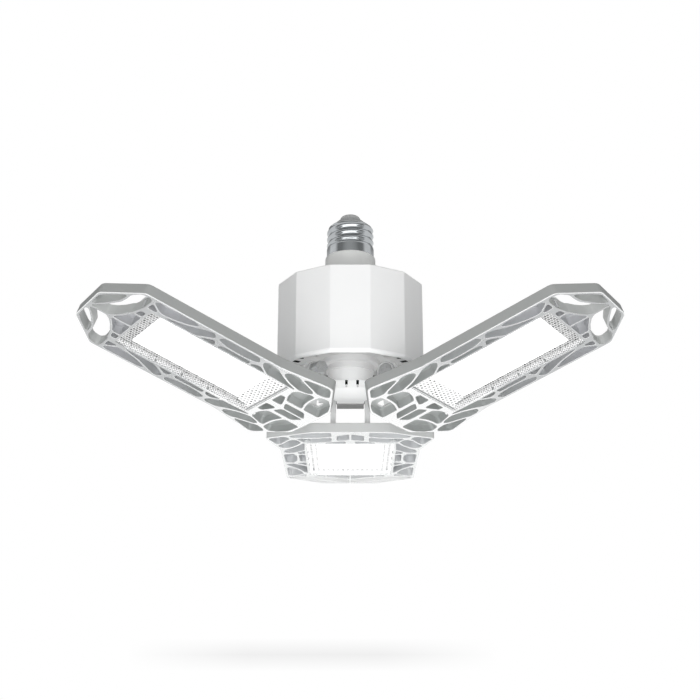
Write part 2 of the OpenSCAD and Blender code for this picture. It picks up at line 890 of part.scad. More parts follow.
module friction_washers() {
    color("black")
        for (turn = arm_turns, side = [-1, 1])
            at_hinge(turn)
                translate([0, side * (arm_side + washer_t / 2), 0])
                    difference() {
                        rod(washer_r, washer_t);
                        rod(pin_r + bore_gap, washer_t + 2 * cut);
                    }
}

// Panels: built level with the hinge end at x = 0 and the lower face at z = 0

module at_panel(turn, tilt) {
    at_hinge(turn) rotate([0, -tilt, 0]) translate([-hinge_u, 0, -hinge_h]) children();
}

// Half outline of the cast frame, from the hinge end to the tip
function frame_half() = [
    [0, panel_end_w / 2], [flare_u, flare_w / 2], [waist_u, panel_w / 2],
    [panel_len - tip_len, panel_w / 2], [panel_len, tip_w / 2]
];

module frame_outline() {
    half = frame_half();
    polygon(softened(concat(half, mirrored(half)), side_round, outline_steps));
}

// One cell and its twin across the centre line, cut from below up to a height
module cell_pair(points, top) {
    soft = softened(points, cell_round, corner_steps);
    slab(soft, -cut, top);
    slab(mirrored(soft), -cut, top);
}

// Bosses for the heat plate's four screws
module at_plate_screws() {
    for (u = [lens_u - boss_out_u, lens_u + lens_len + boss_out_u], side = [-1, 1])
        translate([u, side * (lens_w / 2 - boss_in_v), 0]) children();
}

module ear(side) {
    blade = ear_r * blade_share;
    foot_w = frame_t - sink;
    translate([0, side * ear_mid, 0]) {
        translate([hinge_u, 0, hinge_h]) rod(ear_r, ear_t);
        rotate([90, 0, 0])
            linear_extrude(ear_t, center = true)
                polygon([
                    [hinge_u - foot_in, foot_w], [hinge_u + foot_out, foot_w],
                    [hinge_u + blade, hinge_h], [hinge_u - blade, hinge_h]
                ]);
    }
}

module panel_frame() {
    board_points = plate_points(lens_mid, 0, lens_len, lens_w, lens_corner);
    ledge_points = plate_points(lens_mid, 0, lens_len - 2 * ledge_w, lens_w - 2 * ledge_w,
        lens_corner);
    color(white)
        difference() {
            union() {
                difference() {
                    linear_extrude(frame_t) frame_outline();
                    for (shares = [window_cell_shares, shoulder_cell_shares, lens_end_cell_shares,
                            chevron_cell_shares, flare_cell_shares, flare_leaf_shares])
                        cell_pair(end_points(shares), w_cell_top);
                    for (shares = [waist_leaf_shares, waist_wedge_shares, mid_bow_shares,
                            mid_strip_shares, mid_wedge_shares, side_leaf_shares, side_bow_shares,
                            corner_wedge_shares])
                        cell_pair(side_points(shares), w_cell_top);
                    for (shares = [spine_cell_shares, rung_cell_shares])
                        cell_pair(tip_points(shares), w_cell_top);
                    for (shares = [tip_bow_shares, tip_hole_shares])
                        cell_pair(tip_points(shares), frame_t + cut);
                    cell_pair(end_points(window_opening_shares), frame_t + cut);
                }
                at_plate_screws()
                    translate([0, 0, plate_boss_w])
                        cylinder(r = plate_boss_r, h = frame_t - plate_boss_w);
                for (side = [-1, 1]) ear(side);
            }
            slab(board_points, -cut, w_ledge);
            slab(ledge_points, 0, frame_t + cut);
            slab(board_points, w_board, frame_t + cut);
            at_plate_screws()
                translate([0, 0, 2 * plate_boss_w])
                    cylinder(r = plate_screw_r + bore_gap, h = frame_t);
            translate([hinge_u, 0, hinge_h]) {
                rod(pin_r + bore_gap, 2 * (ear_out + cut));
                for (side = [-1, 1])
                    translate([0, side * (ear_out - seat_depth / 2 + cut / 2), 0])
                        rod(seat_r, seat_depth + cut);
            }
            translate([hinge_u, ear_mid, duct_w]) {
                cylinder(r = duct_r, h = hinge_h - duct_w);
                rotate([0, 90, 0]) cylinder(r = duct_r, h = lens_u - hinge_u + cut);
                sphere(r = elbow_r);
                translate([foot_out, -duct_r, 0])
                    cube([lens_u - hinge_u - foot_out, 2 * duct_r, frame_t - duct_w + cut]);
            }
        }
}

module panel_lens() {
    size = [lens_len - 2 * seat_gap, lens_w - 2 * seat_gap];
    color("white")
        slab(plate_points(lens_mid, 0, size.x, size.y, lens_corner), lens_sink, w_lens_top);
}

module lens_seal() {
    size = [lens_len - 2 * seat_gap, lens_w - 2 * seat_gap];
    color("white")
        difference() {
            slab(plate_points(lens_mid, 0, size.x, size.y, lens_corner), w_lens_top, w_ledge);
            slab(plate_points(lens_mid, 0, lens_len - 2 * ledge_w, lens_w - 2 * ledge_w,
                lens_corner), w_lens_top - cut, w_ledge + cut);
        }
}

module led_board() {
    color("white")
        slab(plate_points(lens_mid, 0, led_board_len, led_board_w, lens_corner),
            w_board, w_board_top);
}

module diodes() {
    reach = [led_board_len - 2 * diode_margin, led_board_w - 2 * diode_margin];
    color("lightyellow")
        for (i = [0 : led_cols - 1], j = [0 : led_rows - 1])
            translate([
                    lens_mid - reach.x / 2 + reach.x * i / (led_cols - 1) - diode_l / 2,
                    -reach.y / 2 + reach.y * j / (led_rows - 1) - diode_w / 2,
                    w_board - diode_t])
                cube([diode_l, diode_w, diode_t]);
}

module heat_plate() {
    plate_start = lens_u - plate_over_hinge;
    plate_end = lens_u + lens_len + plate_over_tip;
    plate_len = plate_end - plate_start;
    plate_mid = (plate_start + plate_end) / 2;
    plate_w = lens_w + 2 * plate_over_v;
    fin_len = lens_len * fin_span_share;
    fin_span = lens_w - 2 * fin_margin;
    color(light_grey)
        difference() {
            union() {
                slab(plate_points(plate_mid, 0, plate_len, plate_w, plate_corner),
                    frame_t, frame_t + plate_t);
                slab(plate_points(lens_mid, 0, led_board_len, led_board_w, lens_corner),
                    w_board_top, frame_t + sink);
                for (i = [0 : fin_count - 1])
                    translate([lens_mid - fin_len / 2,
                            fin_span * (i / (fin_count - 1) - 1 / 2) - fin_t / 2,
                            frame_t + plate_t - sink])
                        cube([fin_len, fin_t, fin_h + sink]);
            }
            at_plate_screws() cylinder(r = plate_screw_r + bore_gap, h = frame_t + plate_t + cut);
            translate([0, ear_mid - duct_r, w_board_top - cut])
                cube([lens_u + lead_reach, 2 * duct_r, pad_t + cut]);
        }
}

module plate_screws() {
    shank = plate_t + pad_t + plate_boss_w;
    color(metal)
        at_plate_screws()
            translate([0, 0, frame_t + plate_t + plate_head_h])
                rotate([180, 0, 0]) screw(plate_head_r, plate_head_h, plate_screw_r, shank);
}

module panel_lead() {
    corner = [hinge_u, 0, duct_w];
    route = concat(
        [[hinge_u, 0, hinge_h - seat_r - lead_stop]],
        bend(corner, [0, 0, 1], [1, 0, 0], elbow),
        [[lens_u + lead_reach - lead_stop, 0, duct_w]]
    );
    color("white") translate([0, ear_mid, 0]) lead(route, panel_lead_r);
}

// The three panels where they stand at rest

module at_left() { at_panel(left_turn, side_tilt) children(); }
module left_frame() { at_left() panel_frame(); }
module left_lens() { at_left() panel_lens(); }
module left_lens_seal() { at_left() lens_seal(); }
module left_led_board() { at_left() led_board(); }
module left_diodes() { at_left() diodes(); }
module left_heat_plate() { at_left() heat_plate(); }
module left_plate_screws() { at_left() plate_screws(); }
module left_lead() { at_left() panel_lead(); }

module at_right() { at_panel(right_turn, side_tilt) children(); }
module right_frame() { at_right() panel_frame(); }
module right_lens() { at_right() panel_lens(); }
module right_lens_seal() { at_right() lens_seal(); }
module right_led_board() { at_right() led_board(); }
module right_diodes() { at_right() diodes(); }
module right_heat_plate() { at_right() heat_plate(); }
module right_plate_screws() { at_right() plate_screws(); }
module right_lead() { at_right() panel_lead(); }

module at_back() { at_panel(back_turn, back_tilt) children(); }
module back_frame() { at_back() panel_frame(); }
module back_lens() { at_back() panel_lens(); }
module back_lens_seal() { at_back() lens_seal(); }
module back_led_board() { at_back() led_board(); }
module back_diodes() { at_back() diodes(); }
module back_heat_plate() { at_back() heat_plate(); }
module back_plate_screws() { at_back() plate_screws(); }
module back_lead() { at_back() panel_lead(); }

contact_tip();
base_insulator();
screw_shell();
base_collar();
driver_housing();
floor_plate();
floor_screws();
driver_board();
board_screws();
driver_transformer();
driver_capacitors();
driver_chips();
supply_leads();
hub_body();
neck_lock_ring();
hub_cover();
hub_leads();
hinge_screws();
hinge_nuts();
friction_washers();
left_frame();
left_lens();
left_lens_seal();
left_led_board();
left_diodes();
left_heat_plate();
left_plate_screws();
left_lead();
right_frame();
right_lens();
right_lens_seal();
right_led_board();
right_diodes();
right_heat_plate();
right_plate_screws();
right_lead();
back_frame();
back_lens();
back_lens_seal();
back_led_board();
back_diodes();
back_heat_plate();
back_plate_screws();
back_lead();
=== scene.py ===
from math import cos, dist, hypot, pi, radians, sin, sqrt

import bpy
from mathutils import Matrix, Vector
from mathutils.geometry import delaunay_2d_cdt


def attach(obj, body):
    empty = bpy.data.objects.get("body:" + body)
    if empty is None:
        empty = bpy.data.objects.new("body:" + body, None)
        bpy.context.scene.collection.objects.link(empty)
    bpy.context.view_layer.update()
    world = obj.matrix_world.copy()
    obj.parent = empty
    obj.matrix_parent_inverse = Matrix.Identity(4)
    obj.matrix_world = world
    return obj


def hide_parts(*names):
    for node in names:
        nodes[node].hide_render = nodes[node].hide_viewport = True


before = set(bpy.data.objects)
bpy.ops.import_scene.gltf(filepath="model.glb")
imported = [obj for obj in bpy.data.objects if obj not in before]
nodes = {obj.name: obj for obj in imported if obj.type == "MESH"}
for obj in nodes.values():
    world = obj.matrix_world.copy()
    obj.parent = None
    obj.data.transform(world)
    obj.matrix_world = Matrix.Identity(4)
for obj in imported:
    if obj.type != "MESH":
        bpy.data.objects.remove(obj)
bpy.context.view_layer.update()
scene = bpy.context.scene

MM = 0.001

# Sizes of the lamp in millimetres, as in the part's source. Z is 0 at the lower rim of the screw shell

skirt_r = 13.25
skirt_h = 5.5
thread_h = 12.6
thread_pitch = 3.9
thread_depth = 0.9
insulator_h = 4.7
collar_h = 19.1
collar_foot_r = 14.6
collar_bore_r = 9
housing_r = 40.9
housing_h = 48.8
housing_wall = 2.2
roof_t = 2.4
floor_recess = 6.6
floor_t = 2
neck_r = 12.3
neck_wall = 2.6
hinge_r = 27.4
hinge_drop = 5
arm_w = 15.2
barrel_r = 6
pin_r = 2
bore_gap = 0.05

z_shell_top = skirt_h + thread_h
z_land = z_shell_top + insulator_h
z_roof = -collar_h
z_rim = z_roof - housing_h
z_floor = z_rim + floor_recess
hinge_z = z_rim - hinge_drop
inner_r = housing_r - housing_wall

# Sizes of a panel: u runs outwards from its hinge end, w upwards from its lower face

panel_len = 133
panel_w = 81.6
panel_end_w = 43
flare_w = 95.4
flare_u = 13.5
waist_u = 41
tip_w = 35.2
tip_len = 16.3
frame_t = 5.6
rim_w = 1.7
w_cell_top = 4.6
hinge_u = 11.5
hinge_h = 23.8
ear_in = 8.15
ear_t = 2.9
ear_r = 4.8
lens_u = 27.2
lens_len = 80
lens_w = 51
lens_rim = 1.2
lens_mid = lens_u + lens_len / 2
seat_round = 1.2
ledge_w = 2

# The lit field behind the lens, and the gap between it and the prisms round it
lit_u = 69
lit_len = 63.4
lit_w = 39
lit_gap = 0.1

# Direction round the axis and tilt above level of each panel, in degrees
PANELS = {"left": (210, 19.5), "right": (330, 19.5), "back": (90, 0)}
turns = [turn for turn, tilt in PANELS.values()]

# Half outlines of the cells at the hinge end: shares of the length up to the lens and of half the flare
WINDOW_CELL = [[0.077, 0.235], [0.077, 0.5], [0.19, 0.64], [0.315, 0.705], [0.46, 0.68],
    [0.488, 0.566], [0.488, 0.48], [0.462, 0.367], [0.392, 0.235]]
WINDOW_OPENING = [[0.15, 0.25], [0.15, 0.4], [0.26, 0.42], [0.37, 0.39], [0.36, 0.25]]
SHOULDER_CELL = [[0.562, 0.6], [0.623, 0.629], [0.846, 0.564], [0.9, 0.482], [0.869, 0.356],
    [0.792, 0.235], [0.462, 0.235], [0.531, 0.356], [0.554, 0.461]]
LENS_END_CELL = [[0.8, 0.071], [0.854, 0.178], [0.915, 0.281], [0.985, 0.281], [0.985, 0.071]]
CHEVRON_CELL = [[0.2, 0.013], [0.331, 0.147], [0.731, 0.147], [0.638, 0.013]]
FLARE_CELL = [[0.4, 0.8], [0.535, 0.93], [0.6, 0.95], [1, 0.876], [1.046, 0.843],
    [0.769, 0.763], [0.615, 0.73], [0.45, 0.75]]
FLARE_LEAF = [[0.669, 0.66], [0.708, 0.734], [1.115, 0.845], [1.269, 0.851], [1.369, 0.809],
    [1.362, 0.755], [1.154, 0.658], [0.885, 0.602], [0.715, 0.621]]

# Half outlines of the side cells: shares of the lens length and of the strip beside the lens
WAIST_LEAF = [[-0.025, 0], [0.035, 0.18], [0.098, 0.444], [0.172, 0.863], [0.235, 0.96],
    [0.26, 0.78], [0.23, 0.395], [0.168, 0]]
WAIST_WEDGE = [[0.198, 0], [0.25, 0.315], [0.29, 0.25], [0.305, 0]]
MID_BOW = [[0.29, 0.62], [0.312, 0.96], [0.56, 0.96], [0.575, 0.685], [0.51, 0.5],
    [0.416, 0.42], [0.341, 0.484]]
MID_STRIP = [[0.325, 0.25], [0.416, 0.28], [0.53, 0.25], [0.542, 0], [0.328, 0]]
MID_WEDGE = [[0.568, 0], [0.593, 0.395], [0.668, 0]]
SIDE_LEAF = [[0.607, 0.669], [0.635, 0.96], [0.679, 0.815], [0.785, 0.363], [0.897, 0.09],
    [0.922, 0], [0.71, 0]]
SIDE_BOW = [[0.735, 0.863], [0.766, 0.96], [1.01, 0.96], [1.028, 0.831], [0.985, 0.444],
    [0.948, 0.266], [0.86, 0.363], [0.785, 0.589]]
CORNER_WEDGE = [[0.978, 0.137], [1.028, 0.6], [1.037, 0.16]]

# Half outlines of the cells and windows at the tip: shares of the length past the lens and of half the width
SPINE_CELL = [[0.02, 0.022], [0.4, 0.022], [0.28, 0.2], [0.203, 0.353], [0.02, 0.353]]
RUNG_CELL = [[0.02, 0.407], [0.154, 0.407], [0.125, 0.52], [0.02, 0.52]]
TIP_BOW = [[0.57, 0.022], [0.455, 0.098], [0.333, 0.22], [0.244, 0.355], [0.183, 0.49],
    [0.146, 0.686], [0.146, 0.882], [0.2, 0.95], [0.36, 0.91], [0.465, 0.784], [0.5, 0.637],
    [0.52, 0.49], [0.675, 0.26], [0.9, 0.022]]
TIP_HOLE = [[0.927, 0.113], [0.94, 0.22], [0.92, 0.37], [0.825, 0.49], [0.622, 0.667],
    [0.565, 0.71], [0.553, 0.637], [0.585, 0.525], [0.74, 0.304], [0.87, 0.132]]

END_CELLS = (WINDOW_CELL, SHOULDER_CELL, LENS_END_CELL, CHEVRON_CELL, FLARE_CELL, FLARE_LEAF)
SIDE_CELLS = (WAIST_LEAF, WAIST_WEDGE, MID_BOW, MID_STRIP, MID_WEDGE, SIDE_LEAF, SIDE_BOW, CORNER_WEDGE)
TIP_CELLS = (SPINE_CELL, RUNG_CELL)
TIP_WINDOWS = (TIP_BOW, TIP_HOLE)


# Outlines


def end_points(shares):
    return [(s[0] * (lens_u - lens_rim), s[1] * flare_w / 2) for s in shares]


def side_points(shares):
    v0, v1 = lens_w / 2 + lens_rim, panel_w / 2 - rim_w
    return [(lens_u + s[0] * lens_len, v0 + s[1] * (v1 - v0)) for s in shares]


def tip_points(shares):
    u0 = lens_u + lens_len + lens_rim
    return [(u0 + s[0] * (panel_len - u0), s[1] * panel_w / 2) for s in shares]


def softened(points, r, steps):
    """Rounds the corners of a closed outline with short parabolic arcs."""
    most = 0.45
    out, m = [], len(points)
    for i in range(m):
        a, b, c = (Vector(points[(i + k) % m]) for k in (-1, 0, 1))
        d = min(r, most * (a - b).length, most * (c - b).length)
        p, q = b + (a - b).normalized() * d, b + (c - b).normalized() * d
        for k in range(steps + 1):
            t = k / steps
            out.append(tuple((1 - t) ** 2 * p + 2 * t * (1 - t) * b + t * t * q))
    return out


def area(loop):
    return sum(a[0] * b[1] - a[1] * b[0] for a, b in zip(loop, loop[1:] + loop[:1])) / 2


def turned(loop):
    """The loop, running anticlockwise and without doubled points."""
    doubled = 1e-3
    out = []
    for p in loop:
        if not out or dist(p, out[-1]) > doubled:
            out.append(tuple(p))
    if dist(out[0], out[-1]) < doubled:
        out.pop()
    return out if area(out) > 0 else out[::-1]


def mirrored(loop):
    return [(x, -y) for x, y in reversed(loop)]


def box(x, y, length, width, r, steps=5):
    """A rectangle round a point, with rounded corners."""
    return softened([(x - length / 2, y - width / 2), (x + length / 2, y - width / 2),
        (x + length / 2, y + width / 2), (x - length / 2, y + width / 2)], r, steps)


def circle(x, y, r, n):
    return [(x + r * cos(2 * pi * k / n), y + r * sin(2 * pi * k / n)) for k in range(n)]


def arc(x, y, r, start, end, steps):
    """Points along an arc, with its angles in degrees."""
    angles = [radians(start + (end - start) * k / steps) for k in range(steps + 1)]
    return [(x + r * cos(a), y + r * sin(a)) for a in angles]


def spun(loop, turn, u=0):
    """A loop moved out by u and turned round the axis."""
    c, w = cos(radians(turn)), sin(radians(turn))
    return [((x + u) * c - y * w, (x + u) * w + y * c) for x, y in loop]


def raised(profile, z):
    """A profile moved up by z."""
    return [(r, h + z) for r, h in profile]


def normals(loop):
    """Outward directions at the points of an anticlockwise loop, scaled for even offsets."""
    least_length, least_cosine = 1e-6, 0.75
    out, m = [], len(loop)
    for i in range(m):
        a, b, c = (Vector(loop[(i + k) % m]) for k in (-1, 0, 1))
        e, f = (b - a).normalized(), (c - b).normalized()
        n = Vector((e.y + f.y, -e.x - f.x))
        n = n.normalized() if n.length > least_length else Vector((e.y, -e.x))
        out.append(n / max(least_cosine, n.dot(Vector((e.y, -e.x)))))
    return out


def levelled(values, loop, slope):
    """Values at a loop's points, lowered until none rises faster along the loop than the slope."""
    m = len(loop)
    for _ in range(3):
        for i in list(range(m)) + list(range(m - 1, -1, -1)):
            for j in ((i - 1) % m, (i + 1) % m):
                values[i] = min(values[i], values[j] + slope * dist(loop[i], loop[j]))
    return values


def room(loop, ns):
    """How far each point may move inwards before it meets the other side of its loop."""
    far, share, slope, parallel, apart = 50, 0.4, 0.5, 1e-9, 1e-6
    m, out = len(loop), []
    for i in range(m):
        p, d = Vector(loop[i]), -ns[i].normalized()
        best = far
        for j in range(m):
            if j in (i, (i - 1) % m):
                continue
            a = Vector(loop[j])
            e = Vector(loop[(j + 1) % m]) - a
            det = d.x * -e.y + d.y * e.x
            if abs(det) < parallel:
                continue
            w = a - p
            t = (w.x * -e.y + w.y * e.x) / det
            s = (d.x * w.y - d.y * w.x) / det
            if t > apart and 0 <= s <= 1:
                best = min(best, t)
        out.append(share * best)
    return levelled(out, loop, slope)


def gap_to(p, loop):
    """Distance from a point to a closed outline."""
    gaps = []
    for (ax, ay), (bx, by) in zip(loop, loop[1:] + loop[:1]):
        ex, ey = bx - ax, by - ay
        q = ex * ex + ey * ey
        t = 0 if q == 0 else max(0, min(1, ((p[0] - ax) * ex + (p[1] - ay) * ey) / q))
        gaps.append(hypot(p[0] - ax - t * ex, p[1] - ay - t * ey))
    return min(gaps)


def spans_of(loop):
    return [(min(p[k] for p in loop), max(p[k] for p in loop)) for k in (0, 1)]


def grown(loops, walls, most, rib):
    """Widens cells until the ribs between them and the walls are as thin as given."""
    reach, far, least, slope = 4, 9, -0.3, 0.35
    spans, out = [spans_of(loop) for loop in loops], []
    for i, loop in enumerate(loops):
        near = [q for j, q in enumerate(loops) if j != i and all(
            theirs[1] > own[0] - reach and theirs[0] < own[1] + reach
            for theirs, own in zip(spans[j], spans[i]))]
        step = []
        for p in loop:
            between = min((gap_to(p, q) for q in near), default=far)
            wall = min(gap_to(p, q) for q in walls)
            step.append(max(least, min(most, (between - rib) / 2, wall - rib)))
        step = levelled(step, loop, slope)
        out.append([tuple(Vector(p) + n * d) for p, n, d in zip(loop, normals(loop), step)])
    return out


def inside(p, loop):
    x, y, hit = p[0], p[1], False
    for (ax, ay), (bx, by) in zip(loop, loop[1:] + loop[:1]):
        if (ay > y) != (by > y) and x < (bx - ax) * (y - ay) / (by - ay) + ax:
            hit = not hit
    return hit


# Meshes


def placed(name, data):
    obj = bpy.data.objects.new(name, data)
    scene.collection.objects.link(obj)
    return obj


class Shape:
    """Vertices and faces of a piece, in millimetres, with a material and a shading for each face."""

    def __init__(self):
        self.v, self.f, self.m, self.flat = [], [], [], []

    def points(self, pts):
        start = len(self.v)
        self.v += [tuple(p) for p in pts]
        return list(range(start, len(self.v)))

    def ring(self, loop, z):
        return self.points([(x, y, z) for x, y in loop])

    def face(self, ids, mat=0, flat=False):
        self.f.append(tuple(ids))
        self.m.append(mat)
        self.flat.append(flat)

    def wall(self, a, b, mat=0, flip=False):
        """Quads between two rings; their outside is that of an anticlockwise ring a under b."""
        n = len(a)
        for i in range(n):
            j = (i + 1) % n
            q = (a[i], a[j], b[j], b[i])
            self.face(q[::-1] if flip else q, mat)

    def walls(self, rings, mats, flip=False):
        """Walls between rings that follow each other, with their materials."""
        for a, b, mat in zip(rings, rings[1:], mats):
            self.wall(a, b, mat, flip)

    def steps(self, loop, steps):
        """Rings of a loop moved inwards, or outwards where a step is negative, at the steps' levels."""
        loop = turned(loop)
        ns = normals(loop)
        limits = room(loop, ns)
        return [self.ring([Vector(p) - n * min(d, most) for p, n, most in zip(loop, ns, limits)], z)
            for d, z in steps]

    def cap(self, outer, holes=(), up=True, mat=0):
        """Flat triangles of one level between rings given by their indices."""
        least_area = 1e-9
        ids, edges, loops = [], [], []
        for ring in [outer, *holes]:
            start, n = len(ids), len(ring)
            ids += ring
            edges += [(start + i, start + (i + 1) % n) for i in range(n)]
            loops.append([self.v[i][:2] for i in ring])
        flat_points = [Vector(self.v[i][:2]) for i in ids]
        verts, _, faces, origin = delaunay_2d_cdt(flat_points, edges, [], 1, 1e-5)[:4]
        z = self.v[outer[0]][2]
        back = [ids[o[0]] if o else self.points([(*p, z)])[0] for p, o in zip(verts, origin)]
        for f in faces:
            c = [sum(verts[i][k] for i in f) / len(f) for k in (0, 1)]
            if not inside(c, loops[0]) or any(inside(c, h) for h in loops[1:]):
                continue
            ring = [back[i] for i in f]
            turn = area([self.v[i][:2] for i in ring])
            if abs(turn) >= least_area:
                self.face(ring if (turn > 0) == up else ring[::-1], mat, True)

    def add(self, other, place=None, mat=0):
        """Another shape, moved by a matrix, with its material numbers raised."""
        start = len(self.v)
        place = place or Matrix()
        flip = place.to_3x3().determinant() < 0
        self.v += [tuple(place @ Vector(p)) for p in other.v]
        for f, m, flat in zip(other.f, other.m, other.flat):
            ids = [i + start for i in f]
            self.face(ids[::-1] if flip else ids, m + mat, flat)

    def mesh(self, name, place):
        data = bpy.data.meshes.new(name)
        data.from_pydata([tuple((place @ Vector(p)) * MM) for p in self.v], [], self.f)
        data.polygons.foreach_set("material_index", self.m)
        data.polygons.foreach_set("use_smooth", [not f for f in self.flat])
        data.validate()
        data.update()
        return data


def piece(shape, name, body, materials, place=None, sharp=40, uv=None):
    """Makes a shape into a piece that rides on a body, with its materials and shading."""
    data = shape.mesh(name, place or Matrix())
    if uv:
        layer = data.uv_layers.new(name="UVMap")
        for loop in data.loops:
            layer.data[loop.index].uv = uv(shape.v[loop.vertex_index])
    obj = placed(name, data)
    for m in materials:
        data.materials.append(m)
    data.set_sharp_from_angle(angle=radians(sharp))
    mod = obj.modifiers.new("Shading", "WEIGHTED_NORMAL")
    mod.keep_sharp = True
    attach(obj, body)
    return obj


def revolve(profile, n=96):
    """A closed solid of revolution round Z from a profile of (radius, height) pairs."""
    s = Shape()
    rings = [s.ring(circle(0, 0, r, n), z) if r else s.points([(0, 0, z)]) for r, z in profile]
    for a, b in zip(rings, rings[1:]):
        if len(a) > 1 and len(b) > 1:
            s.wall(a, b)
            continue
        for i in range(n):
            j = (i + 1) % n
            s.face((a[0], b[j], b[i]) if len(a) == 1 else (a[i], a[j], b[0]))
    return s


# Shares of a rounding at which the points of its short bevel and of its longer arc stand
BEVEL = 0.3
ARC_NEAR, ARC_FAR = 0.13, 0.5


def pocket(s, loop, floor, holes=()):
    """A blind cell opened in the lower face, with a painted highlight on its rims and painted shade inside.
    Returns its rim ring.
    """
    rim, foot, draft = 0.2, 0.4, 0.1
    rings = s.steps(loop, [(-rim, 0), (-rim * BEVEL, rim * BEVEL), (0, rim), (draft, floor - foot),
        (draft + foot * BEVEL, floor - foot * BEVEL), (draft + foot, floor)])
    s.walls(rings, 2 * [EDGE] + 3 * [CELL], flip=True)
    s.cap(rings[-1], holes, up=False, mat=CELL)
    return rings[0]


def through(s, loop, low, high, rim=0.2, rim_low=None, mat=0):
    """A hole from one level to another, with softened rims. Returns its two rims."""
    q = rim if rim_low is None else rim_low
    rings = s.steps(loop, [(-q, low), (-q * BEVEL, low + q * BEVEL), (0, low + q), (0, high - rim),
        (-rim * BEVEL, high - rim * BEVEL), (-rim, high)])
    s.walls(rings, 5 * [mat], flip=True)
    return rings[0], rings[-1]


def solid(s, loop, low, high, r, holes_low=(), holes_high=(), r_low=None, mat=0, side=None):
    """A plate with rounded edges and holes given by rims. A side is its walls' material over edges with a
    painted highlight.
    """
    q = r if r_low is None else r_low
    rings = s.steps(loop, [(q, low), (q * ARC_FAR, low + q * ARC_NEAR), (q * ARC_NEAR, low + q * ARC_FAR),
        (0, low + q), (0, high - r), (r * ARC_NEAR, high - r * ARC_FAR),
        (r * ARC_FAR, high - r * ARC_NEAR), (r, high)])
    s.walls(rings, 7 * [mat] if side is None else 2 * [EDGE] + 5 * [side])
    s.cap(rings[0], holes_low, up=False, mat=mat)
    s.cap(rings[-1], holes_high, up=True, mat=mat)


# Materials


def tree(name):
    mat = bpy.data.materials.new(name)
    mat.use_nodes = True
    nt = mat.node_tree
    return mat, nt, nt.nodes["Principled BSDF"]


def node(nt, kind, **settings):
    n = nt.nodes.new("ShaderNode" + kind)
    for key, value in settings.items():
        setattr(n, key, value)
    return n


def fix(n, values):
    """Values on a node's own sockets."""
    for key, value in values.items():
        n.inputs[key].default_value = value


def join(a, b):
    a.id_data.links.new(a, b)


def maths(kind, a, b=None, clamp=False):
    n = node(a.id_data, "Math", operation=kind, use_clamp=clamp)
    join(a, n.inputs[0])
    if isinstance(b, (int, float)):
        n.inputs[1].default_value = b
    elif b:
        join(b, n.inputs[1])
    return n.outputs[0]


def spread(source, low, high, to_low=0, to_high=1):
    n = node(source.id_data, "MapRange", clamp=True)
    join(source, n.inputs[0])
    for i, x in enumerate((low, high, to_low, to_high)):
        n.inputs[i + 1].default_value = x
    return n.outputs[0]


def blended(factor, a, b):
    n = node(factor.id_data, "Mix", data_type="RGBA")
    join(factor, n.inputs[0])
    for i, colour in ((6, a), (7, b)):
        n.inputs[i].default_value = (*colour, 1)
    return n.outputs[2]


def here(nt):
    """The place of a point in the lamp's frame."""
    return node(nt, "TexCoord").outputs["Object"]


def parts_of(vector):
    xyz = node(vector.id_data, "SeparateXYZ")
    join(vector, xyz.inputs[0])
    return xyz.outputs


def together(nt, x=None, y=None, z=None):
    xyz = node(nt, "CombineXYZ")
    for i, part in enumerate((x, y, z)):
        if part:
            join(part, xyz.inputs[i])
    return xyz.outputs[0]


def length_of(a, b):
    return maths("SQRT", maths("ADD", maths("MULTIPLY", a, a), maths("MULTIPLY", b, b)))


def noise(where, scale, detail, roughness=0.5):
    n = node(where.id_data, "TexNoise")
    fix(n, {"Scale": scale, "Detail": detail, "Roughness": roughness})
    join(where, n.inputs["Vector"])
    return n.outputs[0]


def clouded(cloud, low, high):
    """A value that follows a noise from one level to another."""
    return spread(cloud, 0.3, 0.7, low, high)


def relief(p, height, strength, depth):
    bump = node(p.id_data, "Bump")
    fix(bump, {"Strength": strength, "Distance": depth})
    join(height, bump.inputs["Height"])
    join(bump.outputs[0], p.inputs["Normal"])


# Grain of the cast frames' and the housing's inner finishes, and of two soft blacks
FINE, SOFT, DUSTY = 1400, 1600, 1800


def even(level):
    return (level, level, level)


def finish_of(name, colour, rough, metal=0, vary=0.02, grain=900, bump=0.2):
    """A moulded or painted surface: fine grain in its relief, slight cloudiness in colour and gloss."""
    swing, deepest = 0.06, 2.2 * vary
    mat, nt, p = tree(name)
    where = here(nt)
    broad = noise(where, 28, 4, 0.55)
    fine = noise(where, grain, 3, 0.6)
    deep = tuple(c * (1 - deepest) for c in colour)
    join(blended(clouded(broad, 0, 1), colour, deep), p.inputs["Base Color"])
    gloss = maths("ADD", clouded(broad, -swing, swing),
        clouded(fine, rough - swing / 2, rough + swing / 2))
    join(gloss, p.inputs["Roughness"])
    fix(p, {"Metallic": metal, "IOR": 1.46})
    relief(p, fine, bump, 0.08 * MM)
    return mat


def brushed(name, colour, rough, ringed=True, metal=1):
    """Bare metal with fine marks, which run round the Z axis on turned pieces, and a little staining."""
    mat, nt, p = tree(name)
    where = here(nt)
    marks_at = where
    if ringed:
        x, y, z = parts_of(where)
        marks_at = together(nt, x=length_of(x, y), z=z)
    marks = noise(marks_at, 3640, 3)
    stain = spread(noise(where, 140, 4), 0.35, 0.75)
    join(blended(stain, colour, tuple(c * 0.86 for c in colour)), p.inputs["Base Color"])
    join(clouded(marks, rough * 0.8, rough * 1.25), p.inputs["Roughness"])
    fix(p, {"Metallic": metal})
    relief(p, marks, 0.12, 0.03 * MM)
    return mat


